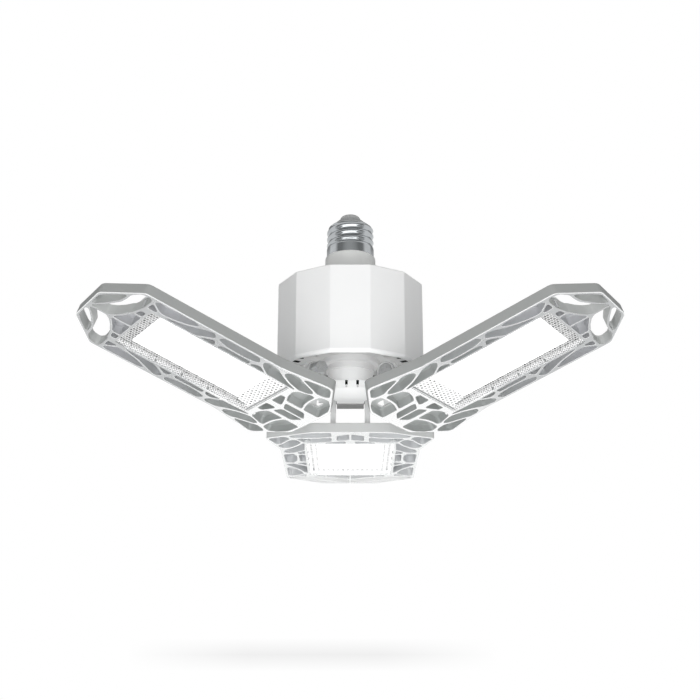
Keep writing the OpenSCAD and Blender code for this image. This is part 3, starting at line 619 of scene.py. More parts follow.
def outwards(name, rough, near, far, start, end, **more):
    """Painted light and shade: a cast surface whose colour changes with the distance from the lamp's axis, in
    millimetres.
    """
    mat = finish_of(name, near, rough, grain=FINE, **more)
    nt = mat.node_tree
    where = here(nt)
    x, y, _ = parts_of(where)
    cloud = clouded(noise(where, 30, 3), -4 * MM, 4 * MM)
    away = maths("ADD", length_of(x, y), cloud)
    share = spread(away, start * MM, end * MM)
    join(blended(share, near, far), nt.nodes["Principled BSDF"].inputs["Base Color"])
    return mat


def lit(mat, strength):
    """Painted light: a little glow of its own on white parts, standing in for more of the light from the lit
    panels.
    """
    fix(mat.node_tree.nodes["Principled BSDF"], {"Emission Color": (1, 1, 1, 1),
        "Emission Strength": strength})
    return mat


def lit_in_front(mat, start, end, strength):
    """Painted light: a glow of its own that grows towards the front, in millimetres along Y."""
    nt = lit(mat, 0).node_tree
    level = spread(parts_of(here(nt))[1], start * MM, end * MM, 0, strength)
    join(level, nt.nodes["Principled BSDF"].inputs["Emission Strength"])
    return mat


def glowing(name, strength):
    mat, nt, p = tree(name)
    join(blended(noise(here(nt), 220, 2), even(1), even(0.97)), p.inputs["Emission Color"])
    fix(p, {"Base Color": (0.9, 0.9, 0.9, 1), "Emission Strength": strength, "Roughness": 0.5})
    return mat


# Millimetres to one unit of a piece's UV map
MAP = 100


def dotted(name, pitch, dark, glow, reach, base):
    """Rows of small moulded prisms that light shines through, a pitch apart on the piece's map."""
    mat, nt, p = tree(name)
    across, along, _ = parts_of(node(nt, "UVMap", uv_map="UVMap").outputs[0])
    v = maths("DIVIDE", along, pitch / MAP)
    row = maths("FLOOR", v)
    shift = maths("MULTIPLY", maths("PINGPONG", row, 1), 0.5)
    u = maths("ADD", maths("DIVIDE", across, pitch / MAP), shift)
    col = maths("FLOOR", u)
    du, dv = (maths("SUBTRACT", maths("SUBTRACT", a, b), 0.5) for a, b in ((u, col), (v, row)))
    d = length_of(du, dv)
    chance = node(nt, "TexWhiteNoise", noise_dimensions="2D")
    join(together(nt, x=col, y=row), chance.inputs[0])
    depth = spread(chance.outputs[0], 0, 1, 0.6, 1)
    spot = maths("MULTIPLY", spread(d, reach - 0.12, reach + 0.04, 1, 0), depth)
    join(blended(spot, base, (dark, dark, dark * 1.02)), p.inputs["Base Color"])
    join(blended(spot, even(glow), even(0)), p.inputs["Emission Color"])
    fix(p, {"Emission Strength": 1, "Roughness": 0.2, "Specular IOR Level": 0.2})
    relief(p, spread(d, 0, 0.5, 1, 0), 0.6, 0.3 * MM)
    return mat


def clear_plastic(name):
    """Thin clear plastic: light passes straight through and its surface shines."""
    mat, nt, p = tree(name)
    join(clouded(noise(here(nt), 90, 3), 0.04, 0.1), p.inputs["Roughness"])
    fix(p, {"Base Color": (0.97, 0.98, 0.98, 1), "Alpha": 0.05, "Specular IOR Level": 0.15})
    mat.surface_render_method = "BLENDED"
    return mat


white = finish_of("housing_white", even(0.93), 0.42, vary=0.008)
# Painted shade: the housing's inside and its floor are greyer than its white outside, for the shade in the
# recess
white_shaded_in = finish_of("housing_inside_painted_shade", (0.64, 0.64, 0.635), 0.5, vary=0.01, grain=FINE)
white_shaded_floor = finish_of("housing_floor_painted_shade", (0.8, 0.8, 0.795), 0.5, vary=0.01, grain=FINE)
# Painted light: the housing's lower rim glows, more towards the front
white_rim_glow = lit_in_front(finish_of("housing_rim_painted_glow", even(0.95), 0.42, vary=0.008), -26, -37, 0.16)
# Painted light: the hub's white glows a little, and the flats of its core twice as much
hub_white = lit(finish_of("hub_white", (0.985, 0.99, 0.99), 0.4, vary=0.01), 0.07)
hub_flat_glow = lit(finish_of("hub_flats_painted_glow", (0.985, 0.99, 0.99), 0.4, vary=0.01), 0.14)
# Painted shade: near black for the walls of the hub's slots and for what is seen through them and the vents
painted_shade_black = finish_of("painted_shade_black", even(0.006), 0.9, vary=0.1, grain=FINE)
# Painted shade: grey for the dark band under the arms' barrels
painted_shade_grey = finish_of("painted_shade_grey", even(0.34), 0.5, grain=FINE)
ring_grey = finish_of("ring_grey", even(0.68), 0.6)
collar_grey = finish_of("collar_grey", (0.82, 0.825, 0.815), 0.34)
glass_grey = finish_of("insulator_grey", (0.47, 0.48, 0.485), 0.3, vary=0.04)
shell_metal = brushed("shell_nickel", (0.48, 0.50, 0.515), 0.15)
contact_metal = brushed("contact_metal", (0.50, 0.505, 0.505), 0.5, metal=0.3)
screw_metal = brushed("screw_steel", (0.55, 0.55, 0.56), 0.3, ringed=False)
hinge_metal = brushed("hinge_steel", (0.84, 0.85, 0.855), 0.32, ringed=False)
plate_alu = brushed("heat_plate_alu", (0.80, 0.81, 0.815), 0.42, ringed=False, metal=0.75)

# Painted light and shade on the cast frames: cells darker than ribs, edges with a painted highlight, the near
# panels' ribs darker away from the axis, their side walls and windows darker than the back panel's, whose
# cells and side walls grow lighter towards its tip
silver = finish_of("frame_silver", (0.86, 0.875, 0.87), 0.27, metal=0.85, grain=FINE)
silver_near = outwards("frame_silver_near", 0.27, (0.96, 0.965, 0.965), (0.51, 0.52, 0.525), 60, 86,
    metal=0.85)
silver_highlight = finish_of("frame_edges_painted_highlight", (0.93, 0.94, 0.94), 0.22, metal=0.5, vary=0.01, grain=FINE)
cells_near = outwards("frame_cells_near", 0.36, (0.56, 0.575, 0.57), (0.60, 0.605, 0.62), 60, 120,
    metal=0.6)
cells_back = outwards("frame_cells_back", 0.42, (0.62, 0.63, 0.64), (0.78, 0.785, 0.785), 122, 138,
    metal=0.3)
sides_near = finish_of("frame_sides", (0.36, 0.368, 0.364), 0.5, vary=0.01, grain=FINE, bump=0.08)
sides_back = outwards("frame_sides_back", 0.5, (0.57, 0.578, 0.575), even(0.8), 122, 138, bump=0.08)
windows_near = finish_of("frame_windows", (0.5, 0.51, 0.505), 0.5, vary=0.01, grain=FINE, bump=0.08)
ears_grey = finish_of("frame_ears", (0.74, 0.745, 0.745), 0.45, vary=0.01, grain=FINE, bump=0.08)

glow_board = glowing("diode_glow", 1.5)
prism = dotted("lens_prisms", 1.5, 0, 0.8, 0.5, (0.12, 0.122, 0.125))
prism_sparse = dotted("lens_prisms_sparse", 1.9, 0, 0.95, 0.34, (0.3, 0.302, 0.305))
prism_back = dotted("lens_prisms_back", 1.9, 0.2, 0.86, 0.38, even(0.3))
prism_wall = dotted("lens_wall", 1.6, 0, 0.95, 0.42, (0.2, 0.2, 0.21))
wall_back = dotted("lens_wall_back", 1.3, 0.3, 0.8, 0.2, (0.24, 0.24, 0.25))
clear = clear_plastic("lens_clear")
mark_light = finish_of("lens_marks_light", (0.34, 0.35, 0.35), 0.4)
mark_grey = finish_of("lens_marks", (0.16, 0.17, 0.17), 0.4)
seal_white = finish_of("seal_silicone", even(0.84), 0.6)
mask_white = finish_of("led_board_white", even(0.88), 0.35, vary=0.01)

rubber_black = finish_of("washer_black", even(0.03), 0.75, vary=0.1, grain=SOFT)
board_green = finish_of("board_green", (0.03, 0.18, 0.08), 0.35, vary=0.15)
wound = finish_of("transformer_amber", (0.55, 0.34, 0.06), 0.45, vary=0.2)
can_dark = finish_of("capacitor_dark", (0.05, 0.055, 0.11), 0.25, vary=0.15)
chip_black = finish_of("chip_black", even(0.02), 0.6, vary=0.2, grain=DUSTY)
lead_black = finish_of("lead_black", even(0.02), 0.5)
lead_red = finish_of("lead_red", (0.45, 0.02, 0.015), 0.5)
lead_white = finish_of("lead_white", (0.82, 0.82, 0.80), 0.5)

# Numbers of the materials on a cast frame: its ribs are 0, the cells carry painted shade, the edges a painted
# highlight, and an ear's own edges, a white painted highlight, come to the last
CELL, EDGE, SIDE, EAR, WINDOW = 1, 2, 3, 4, 5
NEAR_FRAME = [silver_near, cells_near, silver_highlight, sides_near, ears_grey, windows_near, white]
BACK_FRAME = [silver, cells_back, silver_highlight, sides_back, ears_grey, sides_back, white]


def paint(names, mat):
    for name in names.split():
        o = nodes[name]
        if not o.material_slots:
            o.data.materials.append(mat)
        for s in o.material_slots:
            s.material = mat


# Panels

# Levels over a panel's lower face. The clear plate and the ledge are thinner here than in the source
w_clear = 0.3
w_clear_top = 0.85
w_seal = 0.9
w_seal_top = 2.9
w_prism = 2.86
w_ledge = 2.92
w_lit = 3.08
w_board = 3.1

# Prisms nearer to the hinge than this are wider apart
sparse_u = 37


def plate(*given, **more):
    """A shape that is one rounded plate."""
    s = Shape()
    solid(s, *given, **more)
    return s


def bored(loop, bore, low, high, rim, r, mat=0):
    """A rounded plate with a hole right through it."""
    s = Shape()
    a, b = through(s, bore, low, high, rim=rim)
    solid(s, loop, low, high, r, [a], [b], mat=mat)
    return s


def lens_box(less, r):
    """An outline of the lens's seat, less long and wide by an amount."""
    return turned(box(lens_mid, 0, lens_len - less, lens_w - less, r))


def panel_place(side):
    turn, tilt = PANELS[side]
    return (Matrix.Rotation(radians(turn), 4, "Z") @ Matrix.Translation((hinge_r, 0, hinge_z))
        @ Matrix.Rotation(radians(-tilt), 4, "Y") @ Matrix.Translation((-hinge_u, 0, -hinge_h)))


def both_sides(points):
    """A cell with rounded corners, and its mirror image across the panel's centre line."""
    loop = turned(softened(points, 1.3, 3))
    return [loop, turned(mirrored(loop))]


def seat_walls(s, seat):
    """The lens's seat, its ledge and the board's seat. Returns the rims below and above."""
    ledge = lens_box(2 * ledge_w, seat_round)
    rim, top = through(s, seat, 0, w_ledge, rim=0.001, rim_low=0.3)
    a, b = s.ring(ledge, w_ledge), s.ring(ledge, w_board)
    s.wall(a, b, flip=True)
    s.cap(top, [a], up=False)
    c, d = s.ring(seat, w_board), s.ring(seat, frame_t)
    s.cap(c, [b], up=True)
    s.wall(c, d, flip=True)
    return rim, d


def bead_shape():
    """A bead where a side wall turns at the waist."""
    along, out = Vector((0.97, -0.243)), Vector((0.243, 0.97))
    middle = Vector((waist_u, panel_w / 2)) - along * 1.1 - out * 0.1
    half_len, half_w = 0.6, 0.25
    corners = [tuple(middle + along * a * half_len + out * b * half_w)
        for a, b in ((-1, 1), (-1, -1), (1, -1), (1, 1))]
    return plate(corners, 0.5, frame_t - 0.5, 0.05)


def ear_shape():
    """A hinge ear in its own plane, from its inner face up to its outer one."""
    s = Shape()
    foot, z_seat, seat_r = frame_t - 0.5, ear_t - 1.2, 4
    outline = [(hinge_u - 7.2, foot), (hinge_u + 4.6, foot)] + arc(hinge_u, hinge_h, ear_r, -25, 205, 28)
    a, b = through(s, circle(hinge_u, hinge_h, pin_r + bore_gap, 40), 0, z_seat, rim=0.12)
    rings = s.steps(circle(hinge_u, hinge_h, seat_r, 40), [(0.25, z_seat), (0, z_seat + 0.25),
        (0, ear_t - 0.4), (-0.12, ear_t - 0.12), (-0.4, ear_t)])
    s.walls(rings, 2 * [0] + 2 * [EDGE], flip=True)
    s.cap(rings[0], [b], up=True)
    solid(s, outline, 0, ear_t, 0.35, [a], [rings[-1]])
    return s


def frame_shape():
    """The cast frame: ribs round blind cells and windows, the lens's seat, and the hinge ears."""
    s = Shape()
    half = [(0, panel_end_w / 2), (flare_u, flare_w / 2), (waist_u, panel_w / 2),
        (panel_len - tip_len, panel_w / 2), (panel_len, tip_w / 2)]
    outline = softened(half + mirrored(half), 2.4, 6)
    seat = lens_box(0, seat_round)
    blind, windows, low, high = [], [], [], []
    for zone, tables in ((end_points, END_CELLS), (side_points, SIDE_CELLS), (tip_points, TIP_CELLS)):
        for table in tables:
            blind += both_sides(zone(table))
    for table in TIP_WINDOWS:
        windows += both_sides(tip_points(table))
    cells = grown(blind + windows, [turned(outline), seat], most=0.6, rib=1.25)
    for loop in cells[2:len(blind)]:
        low.append(pocket(s, loop, w_cell_top))
    for loop in cells[len(blind):]:
        a, b = through(s, loop, 0, frame_t, rim=0.15, mat=WINDOW)
        low.append(a)
        high.append(b)
    for cell, opening in zip(cells[:2], both_sides(end_points(WINDOW_OPENING))):
        a, b = through(s, opening, w_cell_top, frame_t)
        low.append(pocket(s, cell, w_cell_top, [a]))
        high.append(b)
    rim, top = seat_walls(s, seat)
    solid(s, outline, 0, frame_t, 0.5, low + [rim], high + [top], side=SIDE)
    post_r, gap = 2.3, 2.9
    for u in (lens_u - gap, lens_u + lens_len + gap):
        for side in (-1, 1):
            s.add(plate(circle(u, side * (lens_w / 2 - 0.6), post_r, 32), 0.8, w_cell_top + 0.2, 0.25))
    for side in (1, -1):
        s.add(bead_shape(), Matrix.Diagonal((1, side, 1, 1)), SIDE)
    for side in (-1, 1):
        s.add(ear_shape(), Matrix(((1, 0, 0, 0), (0, 0, side, side * ear_in), (0, 1, 0, 0),
            (0, 0, 0, 1))), EAR)
    return s


def lens_wall_shape():
    """The lens's bright side wall, seen through its clear face."""
    s = Shape()
    outer = lens_box(0.7, 1.1)
    s.wall(s.ring(outer, w_clear_top + 0.01), s.ring(outer, w_prism - 0.02), flip=True)
    return s


def border_shape():
    """The prism border round the lit field."""
    s = Shape()
    opening = turned(box(lit_u, 0, lit_len + 2 * lit_gap, lit_w + 2 * lit_gap, 0.6))
    a, b = s.ring(lens_box(0.6, 0.8), w_prism), s.ring(opening, w_prism)
    s.cap(a, [b], up=False)
    for k, f in enumerate(s.f):
        s.m[k] = 1 if sum(s.v[i][0] for i in f) / len(f) < sparse_u else 0
    s.wall(b, s.ring(opening, w_lit), flip=True)
    return s


def gate_shape():
    """Four small marks of the lens's gate."""
    s = Shape()
    for u, v in ((95, -1.6), (97.8, -1.8), (95.6, 1.9), (98, 1.2)):
        s.cap(s.ring(box(u, v, 1.5, 0.75, 0.3, 2), w_prism - 0.01), up=False)
    return s


def marks_shape():
    """Short marks along the lens's long sides, and a line along its hinge end."""
    s = Shape()
    for side in (-1, 1):
        for u in (52, 68, 84):
            solid(s, box(u, side * (lens_w / 2 - 0.45), 0.9, 0.55, 0.15, 2), 0.87, 2.25, 0.05)
        for u, length in ((32.5, 5), (103, 4)):
            solid(s, box(u, side * (lens_w / 2 - 2.4), length, 0.7, 0.3, 3), 2.6, 2.8, 0.05)
    solid(s, box(lens_u + 0.75, 0, 0.5, lens_w - 3, 0.1, 2), 0.88, 1.2, 0.03)
    return s


def map_uv(p):
    """The prism border's map, with its rows wider apart across the panel."""
    return (p[0] / MAP, p[1] * 0.62 / MAP)


def wall_uv(p):
    """The side wall's map, which runs round the lens and up."""
    return ((p[0] + p[1]) / MAP, p[2] * 2.3 / MAP)


def make_panel(side):
    body = side + "_panel"
    place = panel_place(side)
    near = side != "back"
    cast = NEAR_FRAME if near else BACK_FRAME
    walls = [prism_wall if near else wall_back]
    prisms = [prism, prism_sparse] if near else [prism_back, prism_back]
    f = piece(frame_shape(), side + "_cast_frame", body, cast, place, sharp=42)
    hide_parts(side + "_frame")
    face = plate(lens_box(0.5, 1.1), w_clear, w_clear_top, 0.15)
    lens = piece(face, side + "_lens_face", body, [clear], place)
    piece(lens_wall_shape(), side + "_lens_wall", body, walls, place, uv=wall_uv)
    piece(border_shape(), side + "_prism_border", body, prisms, place, uv=map_uv)
    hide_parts(side + "_lens")
    line = bored(lens_box(0.02, 1.2), lens_box(0.64, 1.1), w_seal, w_seal_top, 0.02, 0.02)
    seal = piece(line, side + "_sealant", body, [seal_white], place)
    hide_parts(side + "_lens_seal")
    field = plate(box(lit_u, 0, lit_len, lit_w, 0.5), w_seal_top, w_lit, 0.02)
    glow = piece(field, side + "_lit_field", body, [glow_board], place)
    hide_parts(side + "_diodes")
    piece(gate_shape(), side + "_lens_gate", body, [mark_light], place)
    piece(marks_shape(), side + "_lens_marks", body, [mark_grey], place)
    for name, mat in (("led_board", mask_white), ("heat_plate", plate_alu),
            ("plate_screws", screw_metal), ("lead", lead_white)):
        paint(f"{side}_{name}", mat)


for side in PANELS:
    make_panel(side)

# Screw base


def thread_r(z, a):
    """Radius of the rolled thread at a height above the skirt and an angle."""
    run_out, step, shy = 1.4, 0.2, 0.05
    wave = (1 + cos(2 * pi * z / thread_pitch - a)) / 2
    low, high = (max(0, min(1, away / run_out)) for away in (z, thread_h - z))
    return skirt_r - (1 - low) * step - low * (shy + thread_depth * (1 - wave * high))


def shell_shape():
    s, n, rows = Shape(), 96, 110
    levels = [(skirt_r - 0.75, 0), (skirt_r - 0.15, 0), (skirt_r, 0.15), (skirt_r, skirt_h - 0.4),
        (skirt_r - 0.06, skirt_h - 0.15)]
    rings = [s.ring(circle(0, 0, r, n), z) for r, z in levels]
    angles = [2 * pi * k / n for k in range(n)]
    for i in range(rows + 1):
        z = thread_h * i / rows
        loop = [(thread_r(z, a) * cos(a), thread_r(z, a) * sin(a)) for a in angles]
        rings.append(s.ring(loop, skirt_h + z))
    for r, z in raised([(skirt_r - 1.2, 0.12), (skirt_r - 1.6, 0.1), (skirt_r - 1.7, -0.1)], z_shell_top):
        rings.append(s.ring(circle(0, 0, r, n), z))
    s.walls(rings, len(rings) * [0])
    return s


shell = piece(shell_shape(), "threaded_shell", "root", [shell_metal], sharp=60)
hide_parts("screw_shell")
dome = revolve(raised([(0, -0.4), (5.9, -0.4), (5.9, 0.3), *arc(3.5, 0.7, 2.35, 0, 70, 7), (3.6, 3.12),
    (2.5, 3.42), (1.2, 3.57), (0, 3.6)], z_land))
dome = piece(dome, "contact_dome", "root", [contact_metal], sharp=50)
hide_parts("contact_tip")
cone_r = skirt_r - 1.75
skirt = revolve(raised([(0, -0.3), (cone_r, -0.3), (cone_r, 0.2), *arc(cone_r - 1.25, 0.2, 1.25, 0, 45, 4),
    (cone_r - 1.85, 2)], z_shell_top) + raised([(7.6, -0.7), (7, -0.3), (6.2, -0.05), (5.5, 0), (0, 0)],
    z_land))
skirt = piece(skirt, "insulator_cone", "root", [glass_grey], sharp=50)
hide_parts("base_insulator")
collar = revolve([(collar_bore_r, z_roof - 2), (collar_foot_r, z_roof - 2),
    (collar_foot_r + 0.02, z_roof + 0.35), (collar_foot_r - 0.05, z_roof + 0.8), (14.1, -1.3),
    (14.05, -0.75), (13.95, -0.4), (13.75, -0.12), (13.4, 0), (collar_bore_r, 0),
    (collar_bore_r, z_roof - 2)], n=128)
collar = piece(collar, "smooth_collar", "root", [collar_grey], sharp=50)
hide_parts("base_collar")

# Housing with softened facets, a rounded lower rim and its bosses, and its vented floor

# Numbers of the housing's materials: its outside is 0, its inside with painted shade 1 and its rim with a
# painted glow 2
INSIDE, RIM = 1, 2

boss_r = inner_r - 5.8
flange_r = neck_r + 0.15


def facets(r):
    """The housing's twelve sides, with softened corners."""
    angles = [radians(15 + 30 * k) for k in range(12)]
    return softened([(r * cos(a), r * sin(a)) for a in angles], 0.5, 5)


def screw_hole(turn, out, r=1.45, n=24):
    return spun(circle(0, 0, r, n), turn, out)


def screw_tube(turn, out, r, low, high, mat=0):
    """A tube round a screw's hole."""
    return bored(screw_hole(turn, out, r, 32), screw_hole(turn, out), low, high, 0.1, 0.1, mat)


def vents(turn, more=0):
    """Five slots in a row beside a hinge, the end ones larger."""
    pitch, long = 6.6, 1.8
    widths = [wide + more for wide in (3.4, 2.2, 2.2, 2.2, 3.4)]
    return [spun(box(0, (i - 2) * pitch, wide * long, wide, 0.4, 3), turn, hinge_r)
        for i, wide in enumerate(widths)]


def housing_shape():
    s = Shape()
    lip = [(inner_r, z_rim + 0.25), (inner_r + 0.1, z_rim + 0.07), (inner_r + 0.25, z_rim)]
    rounding = arc(housing_r - 1.8, z_rim + 1.8, 1.8, -90, 0, 12)
    shoulder = arc(housing_r - 0.9, z_roof - 0.9, 0.9, 0, 90, 5)
    levels = [(inner_r, z_roof - roof_t)] + lip + rounding + shoulder
    rings = [s.ring(facets(r), z) for r, z in levels]
    s.walls(rings, 2 * [INSIDE] + (len(lip + rounding) - 2) * [RIM] + len(shoulder) * [0])
    a, b = (s.ring(circle(0, 0, collar_foot_r + 0.1, 72), z) for z in (z_roof - roof_t, z_roof))
    s.wall(a, b, flip=True)
    s.cap(rings[0], [a], up=False, mat=INSIDE)
    s.cap(rings[-1], [b], up=True)
    for turn in turns:
        s.add(screw_tube(turn + 60, boss_r, 3.2, z_floor + floor_t + 0.05, z_roof - roof_t + 0.1, INSIDE))
    return s


def floor_shape():
    s = Shape()
    post_at = 22
    loops = []
    for turn in turns:
        loops += [*vents(turn), screw_hole(turn + 60, boss_r), screw_hole(turn, post_at)]
    rims = [through(s, circle(0, 0, flange_r, 72), z_floor, z_floor + floor_t, rim=0.05)]
    rims += [through(s, loop, z_floor, z_floor + floor_t, rim=0.12) for loop in loops]
    low, high = ([rim[k] for rim in rims] for k in (0, 1))
    solid(s, facets(inner_r - 0.15), z_floor, z_floor + floor_t, 0.15, low, high, mat=INSIDE)
    s.add(revolve(raised([(flange_r, -6.4), *arc(12.6, -5.8, 0.6, -90, 0, 5), (13.2, -3.3),
        *arc(13.6, -3.3, 0.4, 180, 90, 3), *arc(14.9, -2, 0.9, -90, 0, 6), (15.8, -0.3), (16.1, 0.02),
        (flange_r, 0.02), (flange_r, -6.4)], z_floor)))
    for turn in turns:
        s.add(screw_tube(turn, post_at, 2.6, z_floor + floor_t - 0.1, z_floor + 9))
    return s


housing = piece(housing_shape(), "faceted_housing", "root", [white, white_shaded_in, white_rim_glow],
    sharp=50)
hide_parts("driver_housing")
floor = piece(floor_shape(), "vented_floor", "root", [white, white_shaded_floor], sharp=50)
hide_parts("floor_plate")

# Hub: neck, core with its slots, arms with their barrels, and the cover

# Numbers of the hub's materials, where FLAT has more painted glow and SLOT is painted shade, and of the
# slots' painted shade
FLAT, SLOT = 1, 2
KEY = 1

z_neck = hinge_z - 2.4
z_cover = hinge_z - 5.3
z_low = hinge_z - 6.8
core_r = 13.4
core_wall = 1.4
web_start = 11
arm_end = 17.5
slot_places = (-2.1, 3.9)


def hexagon(flat_r):
    """Six corners, with the flats at a distance from the axis."""
    return circle(0, 0, flat_r / cos(pi / 6), 6)


def upright(turn, out):
    """A plane whose x runs round the axis, y up and z outwards, at a distance from the axis."""
    c, w = cos(radians(turn)), sin(radians(turn))
    return Matrix(((-w, 0, c, c * out), (c, 0, w, w * out), (0, 1, 0, 0), (0, 0, 0, 1)))


def along_hinge(turn):
    """A plane whose x runs outwards, y up and z along the hinge axis."""
    c, w = cos(radians(turn)), sin(radians(turn))
    return Matrix(((c, 0, w, 0), (w, 0, -c, 0), (0, 1, 0, 0), (0, 0, 0, 1)))


def core_side(slots, mat=0):
    """One flat side of the core, with or without its slots."""
    s = Shape()
    half = core_r / sqrt(3)
    loops = [box(place, z_cover + 1.46, 1.3, 2.66, 0.3, 3) for place in slots]
    rims = [through(s, loop, 0, core_wall, rim=0.06, mat=SLOT) for loop in loops]
    solid(s, [(-half, z_cover), (half, z_cover), (half, z_neck), (-half, z_neck)], 0, core_wall, 0.12,
        [a for a, b in rims], [b for a, b in rims], mat=mat)
    return s


def hub_shape():
    s = Shape()
    bore_r, top = neck_r - neck_wall, z_floor + 6
    s.add(revolve([(bore_r, z_neck - 0.2), (neck_r, z_neck - 0.2), (neck_r, top - 0.3), (neck_r - 0.3, top),
        (bore_r, top), (bore_r, z_neck - 0.2)]))
    s.add(bored(hexagon(core_r - 1.52), circle(0, 0, bore_r + 0.1, 64), z_neck - 0.8, z_neck, 0.05, 0.2))
    barrel = [(arm_end + 0.1, hinge_z - barrel_r)] + arc(hinge_r, hinge_z, barrel_r, -90, 160.5, 40) + [
        (21.3, hinge_z + 2), (21, hinge_z + 1.7), (20.6, z_neck), (arm_end + 0.1, z_neck)]
    pin = circle(hinge_r, hinge_z, pin_r + bore_gap, 32)
    web = box((web_start + hinge_r) / 2, 0, hinge_r - web_start, arm_w, 0.2, 2)
    for turn in turns:
        s.add(core_side(slot_places, FLAT), upright(turn + 180, core_r - core_wall))
        s.add(core_side(()), upright(turn, core_r - core_wall))
        s.add(plate(spun(web, turn), z_cover, hinge_z - 2.2, 0.6, r_low=0.1))
        s.add(bored(barrel, pin, -arm_w / 2, arm_w / 2, 0.2, 0.5), along_hinge(turn))
    return s


def cover_shape():
    arm = [(core_r, -arm_w / 2), (arm_end, -arm_w / 2), (arm_end, arm_w / 2), (core_r, arm_w / 2)]
    outline = []
    for turn in sorted(turns):
        outline += spun(arm, turn)
    return plate(softened(outline, 0.4, 3), z_low, z_cover, 0.03, r_low=0.25)


def slot_shade_shape():
    """Painted shade: dark walls behind the slots and dark plates in the vents, and the keys in the slots'
    lower ends.
    """
    s = Shape()
    dark = hexagon(core_r - 1.5)
    s.wall(s.ring(dark, z_cover + 0.05), s.ring(dark, z_neck - 0.1))
    levels = ((z_cover + 0.12, z_cover + 0.5, core_r - 0.2), (z_low + 0.3, z_cover - 0.02, core_r + 0.02))
    for turn in turns:
        for loop in vents(turn, 0.1):
            s.add(plate(loop, z_floor + 0.13, z_floor + floor_t - 0.3, 0.02))
        for place in slot_places:
            for low, high, out in levels:
                key = box(place, (low + high) / 2, 1.06, high - low, 0.1, 2)
                s.add(plate(key, -0.8, 0, 0.02, mat=KEY), upright(turn + 180, out))
    return s


def barrel_shade_shape():
    """Painted shade: grey plates over the lower ends of the arms' barrels."""
    s = Shape()
    shade_plate = box(22.4, 0, 9.6, arm_w - 0.02, 0.3, 3)
    for turn in turns:
        s.add(plate(spun(shade_plate, turn), hinge_z - 7.2, hinge_z - 5.9, 0.3))
    return s


hub = piece(hub_shape(), "hub_casting", "root", [hub_white, hub_flat_glow, painted_shade_black], sharp=45)
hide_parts("hub_body")
cover = piece(cover_shape(), "hub_closing_plate", "root", [hub_white], sharp=45)
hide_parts("hub_cover")
piece(barrel_shade_shape(), "barrel_painted_shade", "root", [painted_shade_grey])
piece(slot_shade_shape(), "slot_and_vent_painted_shade", "root", [painted_shade_black, ring_grey])

paint("floor_screws board_screws", screw_metal)
paint("hinge_screws hinge_nuts", hinge_metal)
paint("driver_board", board_green)
paint("driver_transformer", wound)
paint("driver_capacitors", can_dark)
paint("driver_chips", chip_black)
paint("supply_leads", lead_black)
paint("hub_leads", lead_red)
paint("neck_lock_ring", ring_grey)
paint("friction_washers", rubber_black)

# Camera: focal length and shift in pixels of a picture this wide, place in metres, tilt in degrees

picture_w = 700
focal = 1218.24
shift = -0.3
sensor = 36
tilt_up = 18.43

view = bpy.data.cameras.new("camera")
view.sensor_width = sensor
view.lens = focal / picture_w * sensor
view.shift_x = shift / picture_w
view.clip_start = 0.01
view.clip_end = 100
cam = placed("camera", view)
cam.location = (0, -0.63606, -0.26598)
cam.rotation_euler = (radians(90 + tilt_up), 0, 0)
scene.camera = cam

# World: white to the camera, and a soft studio for the light that falls on the lamp


def mixed(nt, share, a, b, end):
    """Mixes two shaders and sends them to an output node."""
    mix = node(nt, "MixShader")
    for i, source in enumerate((share, a.outputs[0], b.outputs[0])):
        join(source, mix.inputs[i])
    join(mix.outputs[0], node(nt, end).inputs[0])


def looked_at(path):
    """1 for the camera's own rays, also after they pass clear plastic."""
    return maths("MAXIMUM", path["Is Camera Ray"], path["Is Transmission Ray"])


world = bpy.data.worlds.new("studio")
scene.world = world
world.use_nodes = True
nt = world.node_tree
nt.nodes.clear()
path = node(nt, "LightPath").outputs
_, y, z = parts_of(node(nt, "TexCoord").outputs["Generated"])
overhead = maths("MULTIPLY", spread(y, 0.36, 0.5), spread(z, 0.345, 0.4))
behind = maths("SUBTRACT", spread(y, -0.42, -0.2), overhead, clamp=True)
ahead = spread(y, -0.7, -0.98, 0.27, 0.6)
soft, plain = node(nt, "Background"), node(nt, "Background")
fix(soft, {"Color": (0.985, 1, 0.995, 1)})
join(maths("ADD", ahead, maths("MULTIPLY", behind, 0.02)), soft.inputs["Strength"])
fix(plain, {"Color": (1, 1, 1, 1)})
mirrors = maths("MULTIPLY", path["Is Glossy Ray"], behind)
mixed(nt, maths("MAXIMUM", looked_at(path), mirrors), soft, plain, "OutputWorld")

# Lamps, turned to a point in the housing; the last value says whether a lamp shows in reflections

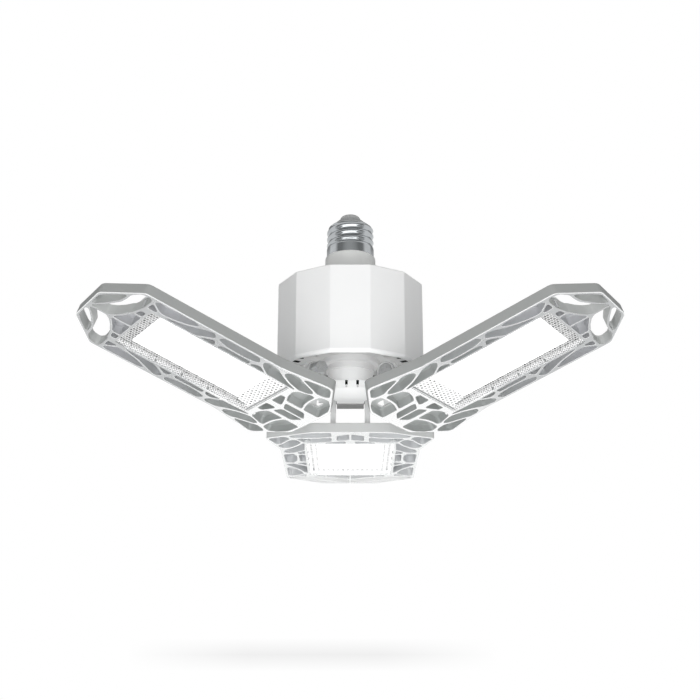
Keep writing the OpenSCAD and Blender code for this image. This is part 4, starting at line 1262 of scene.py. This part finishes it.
aim = Vector((0, 0, -0.05))
for name, place, size, size_y, power, mirrored_too in (
        ("key_high", (0, -1.4, 0.7), 0.8, 0.8, 2.5, False),
        ("key_front", (0, -1.5, -0.66), 0.7, 0.7, 7.5, False),
        ("key_low", (0, -1.25, -1.1), 3, 0.7, 16, True),
        ("under", (0, 0.8, -0.9), 1.8, 1.2, 13, False),
        ("back", (0, 1.5, 0.7), 1.2, 1.2, 14, False)):
    data = bpy.data.lights.new(name, "AREA")
    data.shape = "RECTANGLE"
    data.size, data.size_y = size, size_y
    data.energy = power
    light = placed(name, data)
    light.location = place
    light.rotation_euler = (aim - Vector(place)).to_track_quat("-Z", "Y").to_euler()
    light.visible_camera = False
    light.visible_glossy = mirrored_too

# Floor far below the lamp, pale to the camera and open to the light, and a soft shadow in front of it


def stage_piece(name, corners, mat):
    data = bpy.data.meshes.new(name)
    data.from_pydata(corners, [], [(0, 1, 2, 3)])
    data.materials.append(mat)
    o = placed(name, data)


def bare(name):
    """A material without nodes, and its light path."""
    mat, nt, _ = tree(name)
    nt.nodes.clear()
    return mat, nt, node(nt, "LightPath").outputs


def over_clear(nt, share, shader):
    mixed(nt, share, node(nt, "BsdfTransparent"), shader, "OutputMaterial")


pale, nt, path = bare("floor_pale")
shine, grey = node(nt, "Emission"), node(nt, "BsdfDiffuse")
fix(shine, {"Strength": 0.82})
fix(grey, {"Color": (0.8, 0.8, 0.8, 1)})
both = node(nt, "AddShader")
join(shine.outputs[0], both.inputs[0])
join(grey.outputs[0], both.inputs[1])
over_clear(nt, looked_at(path), both)
reach, z = 4, -0.95
stage_piece("floor", [(-reach, -reach, z), (reach, -reach, z), (reach, reach, z), (-reach, reach, z)], pale)

shadow, nt, path = bare("soft_shadow")
dark = node(nt, "Emission")
fix(dark, {"Strength": 0})
x, _, z = parts_of(here(nt))
wide, tall = (maths("ABSOLUTE", maths("DIVIDE", maths("ADD", where, offset), half))
    for where, offset, half in ((x, 0.02, 0.1), (z, 0.2147, 0.0085)))
spot = maths("MULTIPLY", spread(wide, 1, 0.35), spread(tall, 1, 0))
shade = maths("MULTIPLY", spot, 0.13)
over_clear(nt, maths("MULTIPLY", shade, path["Is Camera Ray"]), dark)
y, z, up, back, half = 0.0321, -0.2152, 0.0121, 0.0041, 0.16
stage_piece("ground_shadow", [(-half, y + back, z - up), (half, y + back, z - up),
    (half, y - back, z + up), (-half, y - back, z + up)], shadow)

scene.view_settings.view_transform = "Standard"
